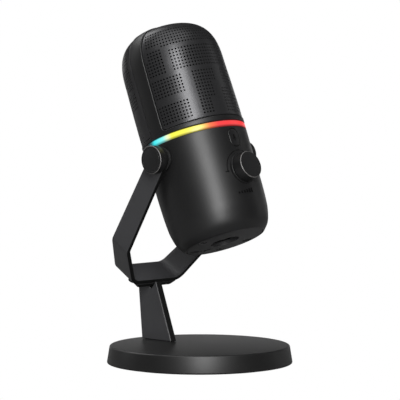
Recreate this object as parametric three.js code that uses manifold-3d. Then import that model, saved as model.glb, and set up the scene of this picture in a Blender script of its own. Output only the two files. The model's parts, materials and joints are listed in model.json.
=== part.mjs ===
// Desktop microphone on a tilting yoke stand. Millimetres, +Z up.
// The origin is the centre of the base's underside, and the microphone speaks towards -Y.

import * as THREE from 'three';
import { mergeVertices } from 'three/addons/utils/BufferGeometryUtils.js';
import Module from 'manifold-3d';

const wasm = await Module();
wasm.setup();

// ---- Driving dimensions ----------------------------------------------------

const GAP = 0.3;                 // clearance between neighbouring pieces
const DEG = Math.PI / 180;
const TURN_STEPS = 36;           // facets round a large turned piece
const KNOB_STEPS = 24;           // facets round a knob or a ring
const SMALL_STEPS = 12;          // facets round a screw or a hole

// Base
const BASE_RADIUS = 54.4;
const BASE_TOP_RADIUS = 52.7;
const BASE_TOP = 11;
const PAD_THICKNESS = 1.2;
const PAD_RADIUS = 50.7;

// Pivot and tilt
const PIVOT_HEIGHT = 120.75;
const MIC_TILT = 23 * DEG;       // the microphone leans back from upright
const YOKE_LEAN = 31.7 * DEG;    // the yoke leans back from upright

// Yoke strip, seen along its width: distances from the pivot down the yoke
const STRIP = 2.5;
const YOKE_OUTER = 34.5;         // outer face of an arm, from the middle
const ARM_LENGTH = 60.6;         // pivot to the upper bend
const YOKE_DEPTH = 83.9;         // pivot to the underside of the cross piece
const CROSS_HALF = 19.2;         // half the cross piece, at its outer corners
const BEND_RADIUS = 6;            // upper bends, on the outside
const LOWER_BEND_RADIUS = 9;
const ARM_WIDTH = 13;
const BEND_WIDTH = 14.6;
const CROSS_WIDTH = 16.6;
const SADDLE = 2.1;
const SADDLE_HALF = 18.6;        // at its upper corners
const SADDLE_TAPER = 5.3;

// Post
const POST_THICKNESS = 4.7;
const POST_FRONT = 21.6;
const POST_REAR = 46.1;
const TENON_DEPTH = 5.5;
const PRONG = [34.4, 46.1];      // tip of the prong in front of the yoke, as [y, z]
const NOTCH = [38.4, 41.1];      // foot of the notch behind it
const REAR_LEAN = 3.2;           // how far the rear edge leans back at the top

// Microphone body: distances are from the pivot, along the microphone's axis
const WALL = 2.2;
const BOTTOM = -52.2;
const BOTTOM_RADIUS = 23.4;
const BODY_RADIUS = 30.6;
const DOME_START = 50;
const DOME_RADIUS = 30.4;
const DOME_LENGTH = 30.1;
const DOME_POWER = 3;
const SEAM = 14.85;              // top of the head frame's collar
const BAND_FRONT = 6.2;          // from the body's axis to the hoop's front edge
const BAND_REAR = 3.6;           // and to its rear edge
const GRILLE_INSET = 0.4;
const GRILLE_WALL = 1.2;

// Light ring: its two edges are parallel planes that fall a little towards the front
const RING_LOW = 8.85;
const RING_HIGH = 12.3;
const RING_RISE = -0.9;
const RING_INNER = 27.4;

// Controls
const KNOB_HEIGHT = -18.3;
const KNOB_FACE = 37;
const KNOB_FACE_RADIUS = 8.05;
const KNOB_BASE_RADIUS = 8.8;
const KNOB_SEAT = 30.9;
const SHAFT_RADIUS = 3;
const MUTE_HEIGHT = 0.75;
const MUTE_WIDTH = 7.6;
const MUTE_LENGTH = 10.9;
const MUTE_BACK = 27;            // from the axis to the back of the mute button

// Pivot hardware
const CLAMP_RADIUS = 8.1;
const CLAMP_FACE = 39.8;
const INSERT_RADIUS = 6.8;
const STUD_RADIUS = 2.5;

// Underside
const SOCKET_HOLE = 8.5;
const THREAD_RADIUS = 7.95;      // 5/8 inch
const USB_PLACE = [-8, 17];
const BUTTON_PLACE = [-0.6, 15];
const JACK_PLACE = [9.8, 15.6];
const LEG_X = 18.6;
const PLATE = 2.3;               // thickness of the bottom plate
const PLATE_RADIUS = 22.6;
const BUTTON_RADIUS = 2.2;
const JACK_RADIUS = 3.1;
const JACK_BORE = 1.8;
const USB_DEPTH = 8;

// Inside
const DECK_LOW = 1;
const BOARD_Y = 12;
const CAPSULE_HEIGHT = 46;

// ---- Materials -------------------------------------------------------------

const finish = (color, roughness, metalness = 0) =>
  new THREE.MeshStandardMaterial({ color, roughness, metalness });

const BLACK_PLASTIC = finish(0x222224, 0.5);
const GRILLE_METAL = finish(0x3a3a3c, 0.42, 0.7);
const YOKE_PAINT = finish(0x2f2f31, 0.5, 0.4);
const BASE_PAINT = finish(0x1f1f20, 0.55, 0.3);
const RUBBER = finish(0x101010, 0.9);
const STEEL = finish(0x8d8f92, 0.35, 1);
const BRASS = finish(0xb08a45, 0.35, 1);
const LIGHT_PIPE = finish(0xe8e8e8, 0.3);
const CIRCUIT = finish(0x14351f, 0.6);
const FOAM = finish(0x19191a, 1);

// ---- Solid helpers ---------------------------------------------------------

function toManifold(geometry) {
  geometry.deleteAttribute('normal');
  geometry.deleteAttribute('uv');
  const merged = mergeVertices(geometry, 1e-4);
  const index = merged.index.array;
  const kept = [];
  for (let i = 0; i < index.length; i += 3) {
    const [a, b, c] = [index[i], index[i + 1], index[i + 2]];
    if (a !== b && b !== c && a !== c) kept.push(a, b, c);
  }
  const vertProperties = new Float32Array(merged.attributes.position.array);
  const build = (order) => new wasm.Manifold(new wasm.Mesh({
    numProp: 3, vertProperties, triVerts: new Uint32Array(order),
  }));
  const solid = build(kept);
  return solid.volume() < 0 ? build(kept.reverse()) : solid;
}

function toGeometry(solid) {
  const mesh = solid.getMesh();
  const geometry = new THREE.BufferGeometry();
  geometry.setAttribute('position', new THREE.BufferAttribute(mesh.vertProperties, 3));
  geometry.setIndex(new THREE.BufferAttribute(mesh.triVerts, 1));
  geometry.computeVertexNormals();
  return geometry;
}

function fold(method, first, rest) {
  let solid = toManifold(first);
  for (const geometry of rest) solid = solid[method](toManifold(geometry));
  return toGeometry(solid);
}

const cut = (first, ...rest) => fold('subtract', first, rest);
const join = (first, ...rest) => fold('add', first, rest);
const overlap = (first, ...rest) => fold('intersect', first, rest);

// A turned piece about Z, from [radius, height] points that start and end on the axis
// or close on themselves.
function turned(points, steps = SMALL_STEPS) {
  const profile = points.map(([r, z]) => new THREE.Vector2(r, z));
  return new THREE.LatheGeometry(profile, steps).rotateX(Math.PI / 2);
}

const disc = (radius, low, high, steps = SMALL_STEPS) =>
  turned([[0, low], [radius, low], [radius, high], [0, high]], steps);

const ring = (inner, outer, low, high, steps = SMALL_STEPS) =>
  turned([[inner, low], [outer, low], [outer, high], [inner, high], [inner, low]], steps);

const box = (x0, x1, y0, y1, z0, z1) =>
  new THREE.BoxGeometry(x1 - x0, y1 - y0, z1 - z0)
    .translate((x0 + x1) / 2, (y0 + y1) / 2, (z0 + z1) / 2);

// An outline in X-Z, extruded along Y from low to high.
function slab(points, low, high) {
  const shape = new THREE.Shape(points.map(([x, z]) => new THREE.Vector2(x, z)));
  return new THREE.ExtrudeGeometry(shape, { depth: high - low, bevelEnabled: false })
    .rotateX(Math.PI / 2)
    .translate(0, high, 0);
}

// Turns a piece made about Z so that its axis runs along -Y (towards the front) or X.
const faceFront = (geometry) => geometry.rotateX(Math.PI / 2);
const faceSide = (geometry, side) => geometry.rotateY(side * Math.PI / 2);

// A stadium outline: width across, length along.
function pill(width, length, steps = 8) {
  const radius = width / 2;
  const straight = length / 2 - radius;
  const points = [];
  for (const end of [1, -1]) {
    for (let i = 0; i <= steps; i += 1) {
      const angle = i / steps * Math.PI + (end < 0 ? Math.PI : 0);
      points.push([radius * Math.cos(angle), end * straight + radius * Math.sin(angle)]);
    }
  }
  return points;
}

function add(group, name, geometry, material) {
  const mesh = new THREE.Mesh(geometry, material);
  mesh.name = name;
  group.add(mesh);
}

// ---- Stand -----------------------------------------------------------------

const stand = new THREE.Group();

const slotRoof = BASE_TOP - TENON_DEPTH;
const postScrews = [POST_FRONT + 6, POST_REAR - 6];

// The turned base plate, with a slot for the post's tenon and two counterbored screw holes.
function basePlate() {
  const low = PAD_THICKNESS / 2;
  const recess = PAD_THICKNESS + GAP;
  const plate = turned([
    [0, recess], [PAD_RADIUS + GAP, recess], [PAD_RADIUS + GAP, low],
    [BASE_RADIUS - 0.6, low], [BASE_RADIUS, low + 0.6],
    [BASE_TOP_RADIUS + 0.5, BASE_TOP - 0.8], [BASE_TOP_RADIUS - 0.5, BASE_TOP],
    [0, BASE_TOP],
  ], TURN_STEPS);
  const half = POST_THICKNESS / 2 + GAP;
  const slot = box(-half, half, POST_FRONT + 2 - GAP, POST_REAR - 2 + GAP, slotRoof - GAP, BASE_TOP + 1);
  const holes = postScrews.flatMap((y) => [
    disc(1.9, 0, BASE_TOP).translate(0, y, 0),
    disc(3.6, 0, recess + 2.3).translate(0, y, 0),
  ]);
  return cut(plate, slot, ...holes);
}

add(stand, 'base_plate', basePlate(), BASE_PAINT);
add(stand, 'base_pad', turned([
  [0, 0], [PAD_RADIUS - 0.4, 0], [PAD_RADIUS, 0.4], [PAD_RADIUS, PAD_THICKNESS], [0, PAD_THICKNESS],
], TURN_STEPS), RUBBER);

// The yoke's own directions in the Y-Z plane: down its arms, and across its width.
const down = new THREE.Vector2(Math.sin(YOKE_LEAN), -Math.cos(YOKE_LEAN));
const across = new THREE.Vector2(Math.cos(YOKE_LEAN), Math.sin(YOKE_LEAN));
const yokePoint = (depth, width) => [
  down.x * depth + across.x * width,
  PIVOT_HEIGHT + down.y * depth + across.y * width,
];

// The blade-shaped post: a plate that leans back, with a prong in front of the yoke.
function post() {
  const under = YOKE_DEPTH + GAP + SADDLE + GAP;
  const seatFront = yokePoint(under, -6.2);
  const seatRear = yokePoint(under, 3.4);
  const outline = [
    [POST_FRONT, BASE_TOP + 0.2], PRONG, NOTCH, seatFront, seatRear,
    [POST_REAR + REAR_LEAN, seatRear[1] - 3], [POST_REAR, BASE_TOP + 0.2],
    [POST_REAR - 2, BASE_TOP + 0.2], [POST_REAR - 2, slotRoof],
    [POST_FRONT + 2, slotRoof], [POST_FRONT + 2, BASE_TOP + 0.2],
  ];
  const half = POST_THICKNESS / 2;
  const blade = slab(outline, -half, half).rotateZ(Math.PI / 2);
  const bores = postScrews.map((y) => disc(1.6, 0, slotRoof + 4.4).translate(0, y, 0));
  return cut(blade, ...bores);
}

add(stand, 'post', post(), YOKE_PAINT);

postScrews.forEach((y, i) => {
  const head = PAD_THICKNESS + GAP + GAP;
  add(stand, `post_screw_${i + 1}`, turned([
    [0, head], [3, head], [3, head + 1.2], [1.5, head + 1.6], [1.5, slotRoof + 4], [0, slotRoof + 4],
  ]).translate(0, y, 0), STEEL);
});

// The yoke is drawn upright about the pivot, then leaned back.
const yoke = new THREE.Group();
yoke.position.z = PIVOT_HEIGHT;
yoke.rotation.x = YOKE_LEAN;
stand.add(yoke);

// Rounds the corners [x, y, radius] of an open path and returns its points.
function rounded(corners, steps = 6) {
  const points = [corners[0]];
  for (let i = 1; i < corners.length - 1; i += 1) {
    const corner = new THREE.Vector2(...corners[i]);
    const back = new THREE.Vector2(...corners[i - 1]).sub(corner).normalize();
    const ahead = new THREE.Vector2(...corners[i + 1]).sub(corner).normalize();
    const radius = corners[i][2];
    const halfAngle = Math.acos(back.dot(ahead)) / 2;
    const reach = radius / Math.tan(halfAngle);
    const middle = back.clone().add(ahead).normalize().multiplyScalar(radius / Math.sin(halfAngle));
    const centre = corner.clone().add(middle);
    const start = corner.clone().add(back.clone().multiplyScalar(reach)).sub(centre);
    const end = corner.clone().add(ahead.clone().multiplyScalar(reach)).sub(centre);
    const from = start.angle();
    const sweep = Math.atan2(start.cross(end), start.dot(end));
    for (let k = 0; k <= steps; k += 1) {
      const angle = from + sweep * k / steps;
      points.push([centre.x + radius * Math.cos(angle), centre.y + radius * Math.sin(angle)]);
    }
  }
  points.push(corners[corners.length - 1]);
  return points;
}

// The strip's outer or inner line, from one arm's top to the other's.
const diagonalAngle = Math.atan2(YOKE_DEPTH - ARM_LENGTH, YOKE_OUTER - CROSS_HALF);

function stripLine(offset) {
  const upper = offset * Math.tan((Math.PI / 2 - diagonalAngle) / 2);
  const lower = offset * Math.tan(diagonalAngle / 2);
  const top = ARM_WIDTH / 2;
  return rounded([
    [-YOKE_OUTER + offset, top],
    [-YOKE_OUTER + offset, -ARM_LENGTH + upper, BEND_RADIUS - offset],
    [-CROSS_HALF + lower, -YOKE_DEPTH + offset, LOWER_BEND_RADIUS - offset],
    [CROSS_HALF - lower, -YOKE_DEPTH + offset, LOWER_BEND_RADIUS - offset],
    [YOKE_OUTER - offset, -ARM_LENGTH + upper, BEND_RADIUS - offset],
    [YOKE_OUTER - offset, top],
  ]);
}

// The strip's width seen from the side: round at the pivot, and wider towards the cross piece.
function widthMask() {
  const points = [];
  for (let i = 0; i <= 12; i += 1) {
    const angle = i / 12 * Math.PI;
    points.push([ARM_WIDTH / 2 * Math.cos(angle), ARM_WIDTH / 2 * Math.sin(angle)]);
  }
  points.push([-BEND_WIDTH / 2, -ARM_LENGTH], [-CROSS_WIDTH / 2, -YOKE_DEPTH + 4]);
  points.push([-CROSS_WIDTH / 2, -YOKE_DEPTH - 4], [CROSS_WIDTH / 2, -YOKE_DEPTH - 4]);
  points.push([CROSS_WIDTH / 2, -YOKE_DEPTH + 4], [BEND_WIDTH / 2, -ARM_LENGTH]);
  return slab(points, -YOKE_OUTER - 1, YOKE_OUTER + 1).rotateZ(Math.PI / 2);
}

const saddleScrews = [-10.5, 10.5];

function yokeStrip() {
  const strip = slab([...stripLine(0), ...stripLine(STRIP).reverse()], -CROSS_WIDTH, CROSS_WIDTH);
  const pivotHole = faceSide(disc(STUD_RADIUS + 0.3, -YOKE_OUTER - 2, YOKE_OUTER + 2), 1);
  const bores = saddleScrews.map((x) => disc(1.5, -YOKE_DEPTH - 1, -YOKE_DEPTH + 2).translate(x, 0, 0));
  return cut(overlap(strip, widthMask()), pivotHole, ...bores);
}

// The saddle follows the strip's underside, and the post ends on it.
function saddle() {
  const under = -YOKE_DEPTH - GAP - SADDLE;
  const end = SADDLE_HALF - SADDLE_TAPER;
  const plate = slab([
    [-SADDLE_HALF, -YOKE_DEPTH + 1], [-end, under], [end, under], [SADDLE_HALF, -YOKE_DEPTH + 1],
  ], -CROSS_WIDTH / 2, CROSS_WIDTH / 2);
  const strip = slab(stripLine(-GAP), -CROSS_WIDTH, CROSS_WIDTH);
  const bores = saddleScrews.map((x) => disc(1.6, under - 1, -YOKE_DEPTH + 1).translate(x, 0, 0));
  return cut(plate, strip, ...bores);
}

add(yoke, 'yoke', yokeStrip(), YOKE_PAINT);
add(yoke, 'saddle', saddle(), YOKE_PAINT);

saddleScrews.forEach((x, i) => {
  const seat = -YOKE_DEPTH - GAP - SADDLE - GAP;
  add(yoke, `saddle_screw_${i + 1}`, turned([
    [0, seat - 1.2], [2.2, seat - 1.2], [2.5, seat], [1.2, seat], [1.2, -YOKE_DEPTH + 1.6],
    [0, -YOKE_DEPTH + 1.6],
  ]).translate(x, 0, 0), STEEL);
});

// ---- Microphone ------------------------------------------------------------

const mic = new THREE.Group();
mic.position.z = PIVOT_HEIGHT;
mic.rotation.x = -MIC_TILT;

// The body's outline from the bottom face to the shoulder, as [radius, height].
const SIDE = [
  [BOTTOM_RADIUS, BOTTOM], [24.3, -51.5], [27.3, -47.6], [29.1, -41.6], [29.9, -35.6],
  [30.4, -23.6], [BODY_RADIUS, 0], [30.9, 17], [30.8, 32], [DOME_RADIUS, DOME_START],
];

// The dome above the shoulder is a superellipse, pulled in by inset.
function dome(inset, steps = 7) {
  const points = [];
  for (let i = 1; i <= steps; i += 1) {
    const angle = i / steps * Math.PI / 2;
    const r = (DOME_RADIUS - inset) * Math.cos(angle) ** (2 / DOME_POWER);
    const z = DOME_START + (DOME_LENGTH - inset) * Math.sin(angle) ** (2 / DOME_POWER);
    points.push([i === steps ? 0 : r, z]);
  }
  return points;
}

const inward = (points, inset) => points.map(([r, z]) => [r - inset, z]);

// A shell about the microphone's axis, from low to high, between two insets.
function bodyShell(low, outset, inset, high) {
  const outer = [...inward(SIDE, outset), ...dome(outset)];
  const inner = [...inward(SIDE, inset), ...dome(inset)];
  const solid = turned([[0, BOTTOM], ...outer], TURN_STEPS);
  const hollow = turned([[0, BOTTOM - 1], [BOTTOM_RADIUS - inset, BOTTOM - 1], ...inner], TURN_STEPS);
  return overlap(cut(solid, hollow), box(-40, 40, -40, 40, low, high));
}

// Everything above (or below) a plane at a height, tilted by its rise towards the front.
function halfSpace(height, rise, above) {
  const block = box(-60, 60, -60, 60, above ? 0 : -120, above ? 120 : 0);
  return block.rotateX(-Math.atan2(rise, BODY_RADIUS)).translate(0, 0, height);
}

const HIGH = DOME_START + DOME_LENGTH + 2;

// The lower shell has a flat seat for the volume knob and a mouth for the bottom plate.
function lowerShell() {
  let shell = bodyShell(BOTTOM - 2, 0, WALL, RING_HIGH + 6);
  shell = cut(shell, halfSpace(RING_LOW - GAP / 2, RING_RISE, true));
  const seat = faceFront(disc(KNOB_BASE_RADIUS + 0.5, BODY_RADIUS - 2.6, KNOB_SEAT, KNOB_STEPS))
    .translate(0, 0, KNOB_HEIGHT);
  const shaftHole = faceFront(disc(SHAFT_RADIUS + 0.5, 20, 40)).translate(0, 0, KNOB_HEIGHT);
  const muteHole = slab(pill(MUTE_WIDTH + 2 * GAP, MUTE_LENGTH + 2 * GAP), -40, -20)
    .translate(0, 0, MUTE_HEIGHT);
  const pivots = faceSide(disc(INSERT_RADIUS + GAP, -40, 40), 1);
  const mouth = disc(PLATE_RADIUS + GAP, BOTTOM - 3, BOTTOM + PLATE + GAP, TURN_STEPS);
  return cut(join(shell, seat), shaftHole, muteHole, pivots, mouth);
}

// The hoop over the top and the collar above the light ring are one frame.
function headFrame() {
  const shell = cut(bodyShell(0, 0, WALL, HIGH), halfSpace(RING_HIGH + GAP / 2, RING_RISE, false));
  const windows = [-1, 1].map((side) => {
    const [near, far] = side < 0 ? [-40, -BAND_FRONT] : [BAND_REAR, 40];
    return box(-40, 40, near, far, SEAM, HIGH);
  });
  return cut(shell, ...windows);
}

function grille(side) {
  const shell = bodyShell(SEAM + GAP, GRILLE_INSET, GRILLE_INSET + GRILLE_WALL, HIGH);
  const [near, far] = side < 0 ? [-40, -BAND_FRONT - GAP] : [BAND_REAR + GAP, 40];
  return overlap(shell, box(-40, 40, near, far, 0, HIGH));
}

// The translucent ring between the lower shell and the head frame.
function lightRing() {
  const blank = ring(RING_INNER, BODY_RADIUS + 0.1, 5, 16, TURN_STEPS);
  const below = halfSpace(RING_LOW + GAP / 2, RING_RISE, false);
  const above = halfSpace(RING_HIGH - GAP / 2, RING_RISE, true);
  return cut(blank, below, above);
}

add(mic, 'lower_shell', lowerShell(), BLACK_PLASTIC);
add(mic, 'head_frame', headFrame(), BLACK_PLASTIC);
add(mic, 'front_grille', grille(-1), GRILLE_METAL);
add(mic, 'rear_grille', grille(1), GRILLE_METAL);
add(mic, 'light_ring', lightRing(), LIGHT_PIPE);

// Bottom plate: the stand socket in the middle and the ports behind it.
function usbPrism(spread, low, high) {
  const outline = pill(3.3 + spread, 9.1 + spread, 5).map(([x, z]) => [-z, x]);
  return slab(outline, -high, -low).rotateX(-Math.PI / 2)
    .translate(USB_PLACE[0], USB_PLACE[1], 0);
}

function bottomPlate() {
  const plate = disc(PLATE_RADIUS, BOTTOM, BOTTOM + PLATE, TURN_STEPS);
  const low = BOTTOM - 1;
  const high = BOTTOM + PLATE + 1;
  return cut(
    plate,
    disc(SOCKET_HOLE, low, high, KNOB_STEPS),
    usbPrism(2 * GAP, low, high),
    disc(BUTTON_RADIUS + GAP, low, high).translate(BUTTON_PLACE[0], BUTTON_PLACE[1], 0),
    disc(JACK_RADIUS + GAP, low, high).translate(JACK_PLACE[0], JACK_PLACE[1], 0),
    ...[-LEG_X, LEG_X].map((x) => disc(1.5, low, high).translate(x, 0, 0)),
    ...[-LEG_X, LEG_X].map((x) => disc(2.7, low, BOTTOM + 1.2).translate(x, 0, 0)),
  );
}

// A tube with the USB-C outline, closed at its inner end.
function usbSocket() {
  const low = BOTTOM + 0.2;
  return cut(usbPrism(0, low, low + USB_DEPTH), usbPrism(-0.8, low - 1, low + USB_DEPTH - 1.5));
}

add(mic, 'bottom_plate', bottomPlate(), BLACK_PLASTIC);
add(mic, 'usb_socket', usbSocket(), STEEL);
add(mic, 'headphone_jack', turned([
  [JACK_BORE, BOTTOM + 0.1], [JACK_RADIUS, BOTTOM + 0.1], [JACK_RADIUS, BOTTOM + PLATE],
  [JACK_RADIUS + 0.9, BOTTOM + PLATE + GAP], [JACK_RADIUS + 0.9, BOTTOM + 8],
  [JACK_BORE, BOTTOM + 8], [JACK_BORE, BOTTOM + 0.1],
]).translate(JACK_PLACE[0], JACK_PLACE[1], 0), BLACK_PLASTIC);

const threadLow = BOTTOM + PLATE + GAP;
add(mic, 'thread_socket', turned([
  [THREAD_RADIUS, threadLow], [11.3, threadLow], [11.3, threadLow + 2], [9.8, threadLow + 2],
  [9.8, threadLow + 11], [THREAD_RADIUS, threadLow + 11], [THREAD_RADIUS, threadLow],
], KNOB_STEPS), BRASS);

// Chassis: a deck at the pivot with two legs that stand on the bottom plate.
function chassis() {
  const deck = ring(10, 26, DECK_LOW, DECK_LOW + 2, TURN_STEPS);
  const legs = [-1, 1].map((side) => join(
    box(LEG_X * side - 3.5, LEG_X * side + 3.5, -3.5, 3.5, threadLow, DECK_LOW + 1),
    box(17.5 * side - 3, 17.5 * side + 3, 3, BOARD_Y - GAP, -34, -28),
  ));
  const bores = [-1, 1].flatMap((side) => [
    disc(1.5, BOTTOM, BOTTOM + 12).translate(LEG_X * side, 0, 0),
    faceFront(disc(1.3, -BOARD_Y - 1, -BOARD_Y + 6)).translate(17.5 * side, 0, -31),
  ]);
  const notch = box(-10, 10, -30, -20.4, DECK_LOW - 1, DECK_LOW + 3);
  return cut(join(deck, ...legs), ...bores, notch);
}

add(mic, 'chassis', chassis(), BLACK_PLASTIC);

function mainBoard() {
  const board = box(-19.5, 19.5, BOARD_Y, BOARD_Y + 1.6, -43.5, -3);
  const holes = [-17.5, 17.5].map((x) => faceFront(disc(1.4, -BOARD_Y - 3, -BOARD_Y + 2))
    .translate(x, 0, -31));
  const chips = [
    box(-8, 2, BOARD_Y - 1.2, BOARD_Y + 0.5, -26, -16),
    box(6, 12, BOARD_Y - 1, BOARD_Y + 0.5, -22, -17),
    box(-12, -7, BOARD_Y - 2.4, BOARD_Y + 0.5, -11, -6),
  ];
  return join(cut(board, ...holes), ...chips);
}

add(mic, 'main_board', mainBoard(), CIRCUIT);

[-1, 1].forEach((side, i) => {
  add(mic, `bottom_screw_${i + 1}`, turned([
    [0, BOTTOM + 0.3], [2.4, BOTTOM + 0.3], [2.4, BOTTOM + 0.9], [1.2, BOTTOM + 0.9],
    [1.2, BOTTOM + 11], [0, BOTTOM + 11],
  ]).translate(LEG_X * side, 0, 0), STEEL);
});

[-1, 1].forEach((side, i) => {
  add(mic, `board_screw_${i + 1}`, faceFront(turned([
    [0, -BOARD_Y - 3.4], [2.2, -BOARD_Y - 3.4], [2.2, -BOARD_Y - 1.9], [1.05, -BOARD_Y - 1.9],
    [1.05, -BOARD_Y + 5], [0, -BOARD_Y + 5],
  ])).translate(17.5 * side, 0, -31), STEEL);
});

// Light board below the ring, with a light chip at each twelfth of a turn.
function lightBoard() {
  const chips = [];
  for (let i = 0; i < 12; i += 1) {
    chips.push(box(22.6, 24.6, -1, 1, 6.6, 7.4).rotateZ(i * 30 * DEG + 15 * DEG));
  }
  return join(ring(20.5, 25.9, 5.7, 6.9, TURN_STEPS), ...chips);
}

add(mic, 'light_board', lightBoard(), CIRCUIT);

// The front board carries the volume control and the mute switch.
function frontBoard() {
  const board = box(-9, 9, -22.3, -20.9, -27, 4.6);
  return cut(board, faceFront(disc(4.2, 20, 23)).translate(0, 0, KNOB_HEIGHT));
}

add(mic, 'front_board', frontBoard(), CIRCUIT);
add(mic, 'volume_pot', faceFront(turned([
  [SHAFT_RADIUS + GAP, 27], [SHAFT_RADIUS + GAP, 14], [8, 14], [8, 20.5], [3.9, 20.5], [3.9, 27],
  [SHAFT_RADIUS + GAP, 27],
])).translate(0, 0, KNOB_HEIGHT), STEEL);
add(mic, 'mute_switch', join(
  box(-3, 3, -25.2, -22.6, MUTE_HEIGHT - 3, MUTE_HEIGHT + 3),
  faceFront(disc(1.6, 25, 26)).translate(0, 0, MUTE_HEIGHT),
), BLACK_PLASTIC);
add(mic, 'light_switch', box(
  BUTTON_PLACE[0] - 2.1, BUTTON_PLACE[0] + 2.1, 14, 18, BOTTOM + 6, BOTTOM + 9,
), BLACK_PLASTIC);

// Capsule in its rubber ring, held by a cradle that stands on the chassis.

function cradle() {
  const foot = disc(13, DECK_LOW + 2 + GAP, DECK_LOW + 4.5);
  const stem = box(-3.5, 3.5, -3, 3, DECK_LOW + 4, CAPSULE_HEIGHT - 15);
  const loop = faceFront(ring(14.7, 16.8, -4, 4, KNOB_STEPS)).translate(0, 0, CAPSULE_HEIGHT);
  return join(foot, stem, loop);
}

add(mic, 'capsule_cradle', cradle(), BLACK_PLASTIC);
add(mic, 'capsule_ring', faceFront(ring(12.9, 14.4, -3, 3, KNOB_STEPS)).translate(0, 0, CAPSULE_HEIGHT), RUBBER);
add(mic, 'capsule', faceFront(turned([
  [0, -5.5], [12.6, -5.5], [12.6, 5.5], [11.4, 5.5], [11.4, 4.9], [0, 4.9],
], KNOB_STEPS)).translate(0, 0, CAPSULE_HEIGHT), BRASS);

// A thin foam sock inside the grilles.
function foamLiner() {
  const outer = dome(2.6, 4);
  const inner = dome(4.4, 4);
  return turned([
    [DOME_RADIUS - 4.4, 14], [DOME_RADIUS - 2.6, 14], ...outer, ...inner.reverse(),
    [DOME_RADIUS - 4.4, 14],
  ], KNOB_STEPS);
}

add(mic, 'foam_liner', foamLiner(), FOAM);

// ---- Controls that move ----------------------------------------------------

function volumeKnob() {
  const face = KNOB_FACE;
  const knob = turned([
    [0, KNOB_SEAT + GAP], [KNOB_BASE_RADIUS, KNOB_SEAT + GAP],
    [KNOB_FACE_RADIUS + 0.1, face - 0.6], [KNOB_FACE_RADIUS - 0.5, face], [0, face],
  ], KNOB_STEPS);
  return cut(knob, disc(SHAFT_RADIUS + GAP, KNOB_SEAT - 1, face - 2));
}

add(mic, 'volume_knob', faceFront(volumeKnob()).translate(0, 0, KNOB_HEIGHT), BLACK_PLASTIC);
add(mic, 'volume_shaft', faceFront(disc(SHAFT_RADIUS, 16, KNOB_FACE - 2.3))
  .translate(0, 0, KNOB_HEIGHT), STEEL);

add(mic, 'mute_button', overlap(
  slab(pill(MUTE_WIDTH, MUTE_LENGTH), -40, -MUTE_BACK).translate(0, 0, MUTE_HEIGHT),
  turned([[0, -10], [BODY_RADIUS + 0.1, -10], [BODY_RADIUS + 0.1, 10], [0, 10]], TURN_STEPS),
), BLACK_PLASTIC);

add(mic, 'light_button', turned([
  [0, BOTTOM - 0.4], [BUTTON_RADIUS - 0.4, BOTTOM - 0.4], [BUTTON_RADIUS, BOTTOM],
  [BUTTON_RADIUS, BOTTOM + PLATE + GAP], [3, BOTTOM + PLATE + GAP + 0.2],
  [3, BOTTOM + 4.2], [0, BOTTOM + 4.2],
]).translate(BUTTON_PLACE[0], BUTTON_PLACE[1], 0), BLACK_PLASTIC);

// ---- Pivot hardware --------------------------------------------------------

for (const [label, side] of [['left', -1], ['right', 1]]) {
  const place = (geometry) => faceSide(geometry, side);
  add(mic, `pivot_insert_${label}`, place(ring(STUD_RADIUS + 0.25, INSERT_RADIUS, 26.4, 31.1)), STEEL);
  add(mic, `washer_${label}`, place(ring(STUD_RADIUS + 0.3, 7.2, 31.3, 31.8, KNOB_STEPS)), RUBBER);
  add(mic, `clamp_stud_${label}`, place(disc(STUD_RADIUS, 26.6, 38)), STEEL);
  add(mic, `clamp_knob_${label}`, place(turned([
    [STUD_RADIUS + GAP, YOKE_OUTER + 0.2], [7.4, YOKE_OUTER + 0.2], [CLAMP_RADIUS, YOKE_OUTER + 0.9],
    [CLAMP_RADIUS, CLAMP_FACE - 0.5], [CLAMP_RADIUS - 0.5, CLAMP_FACE], [6.6, CLAMP_FACE],
    [6.6, 38.2], [STUD_RADIUS + GAP, 38.2], [STUD_RADIUS + GAP, YOKE_OUTER + 0.2],
  ], KNOB_STEPS)), BLACK_PLASTIC);
  add(mic, `clamp_cap_${label}`, place(disc(6.3, 38.5, CLAMP_FACE, KNOB_STEPS)), BLACK_PLASTIC);
}

export default new THREE.Group().add(stand, mic);
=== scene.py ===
"""Desktop microphone: the looks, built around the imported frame.

Pieces are drawn in millimetres. Those of the body are drawn upright about the tilt pivot and are
then leaned back; those of the yoke are drawn upright about the same pivot and leaned the other way.
"""

import json
import math

import bmesh
import bpy
from mathutils import Matrix, Vector


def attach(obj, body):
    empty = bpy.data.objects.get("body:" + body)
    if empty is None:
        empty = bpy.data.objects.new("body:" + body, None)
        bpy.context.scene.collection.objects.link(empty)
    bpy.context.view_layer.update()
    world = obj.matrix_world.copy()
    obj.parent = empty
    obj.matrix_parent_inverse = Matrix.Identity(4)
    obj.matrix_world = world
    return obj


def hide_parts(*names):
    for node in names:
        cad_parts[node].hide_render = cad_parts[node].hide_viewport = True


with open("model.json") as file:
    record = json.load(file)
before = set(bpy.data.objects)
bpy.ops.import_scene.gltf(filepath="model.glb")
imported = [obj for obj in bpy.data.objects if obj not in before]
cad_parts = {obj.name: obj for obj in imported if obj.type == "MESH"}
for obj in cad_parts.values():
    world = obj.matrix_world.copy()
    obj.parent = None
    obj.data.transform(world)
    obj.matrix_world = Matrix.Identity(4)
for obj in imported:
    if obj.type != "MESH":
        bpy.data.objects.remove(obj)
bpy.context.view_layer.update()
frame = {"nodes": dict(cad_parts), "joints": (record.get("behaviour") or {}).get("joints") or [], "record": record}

MM = 0.001
DEG = math.pi / 180
FULL_TURN = 2 * math.pi

# ---- Places taken from the frame ----------------------------------------------------------------

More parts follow.
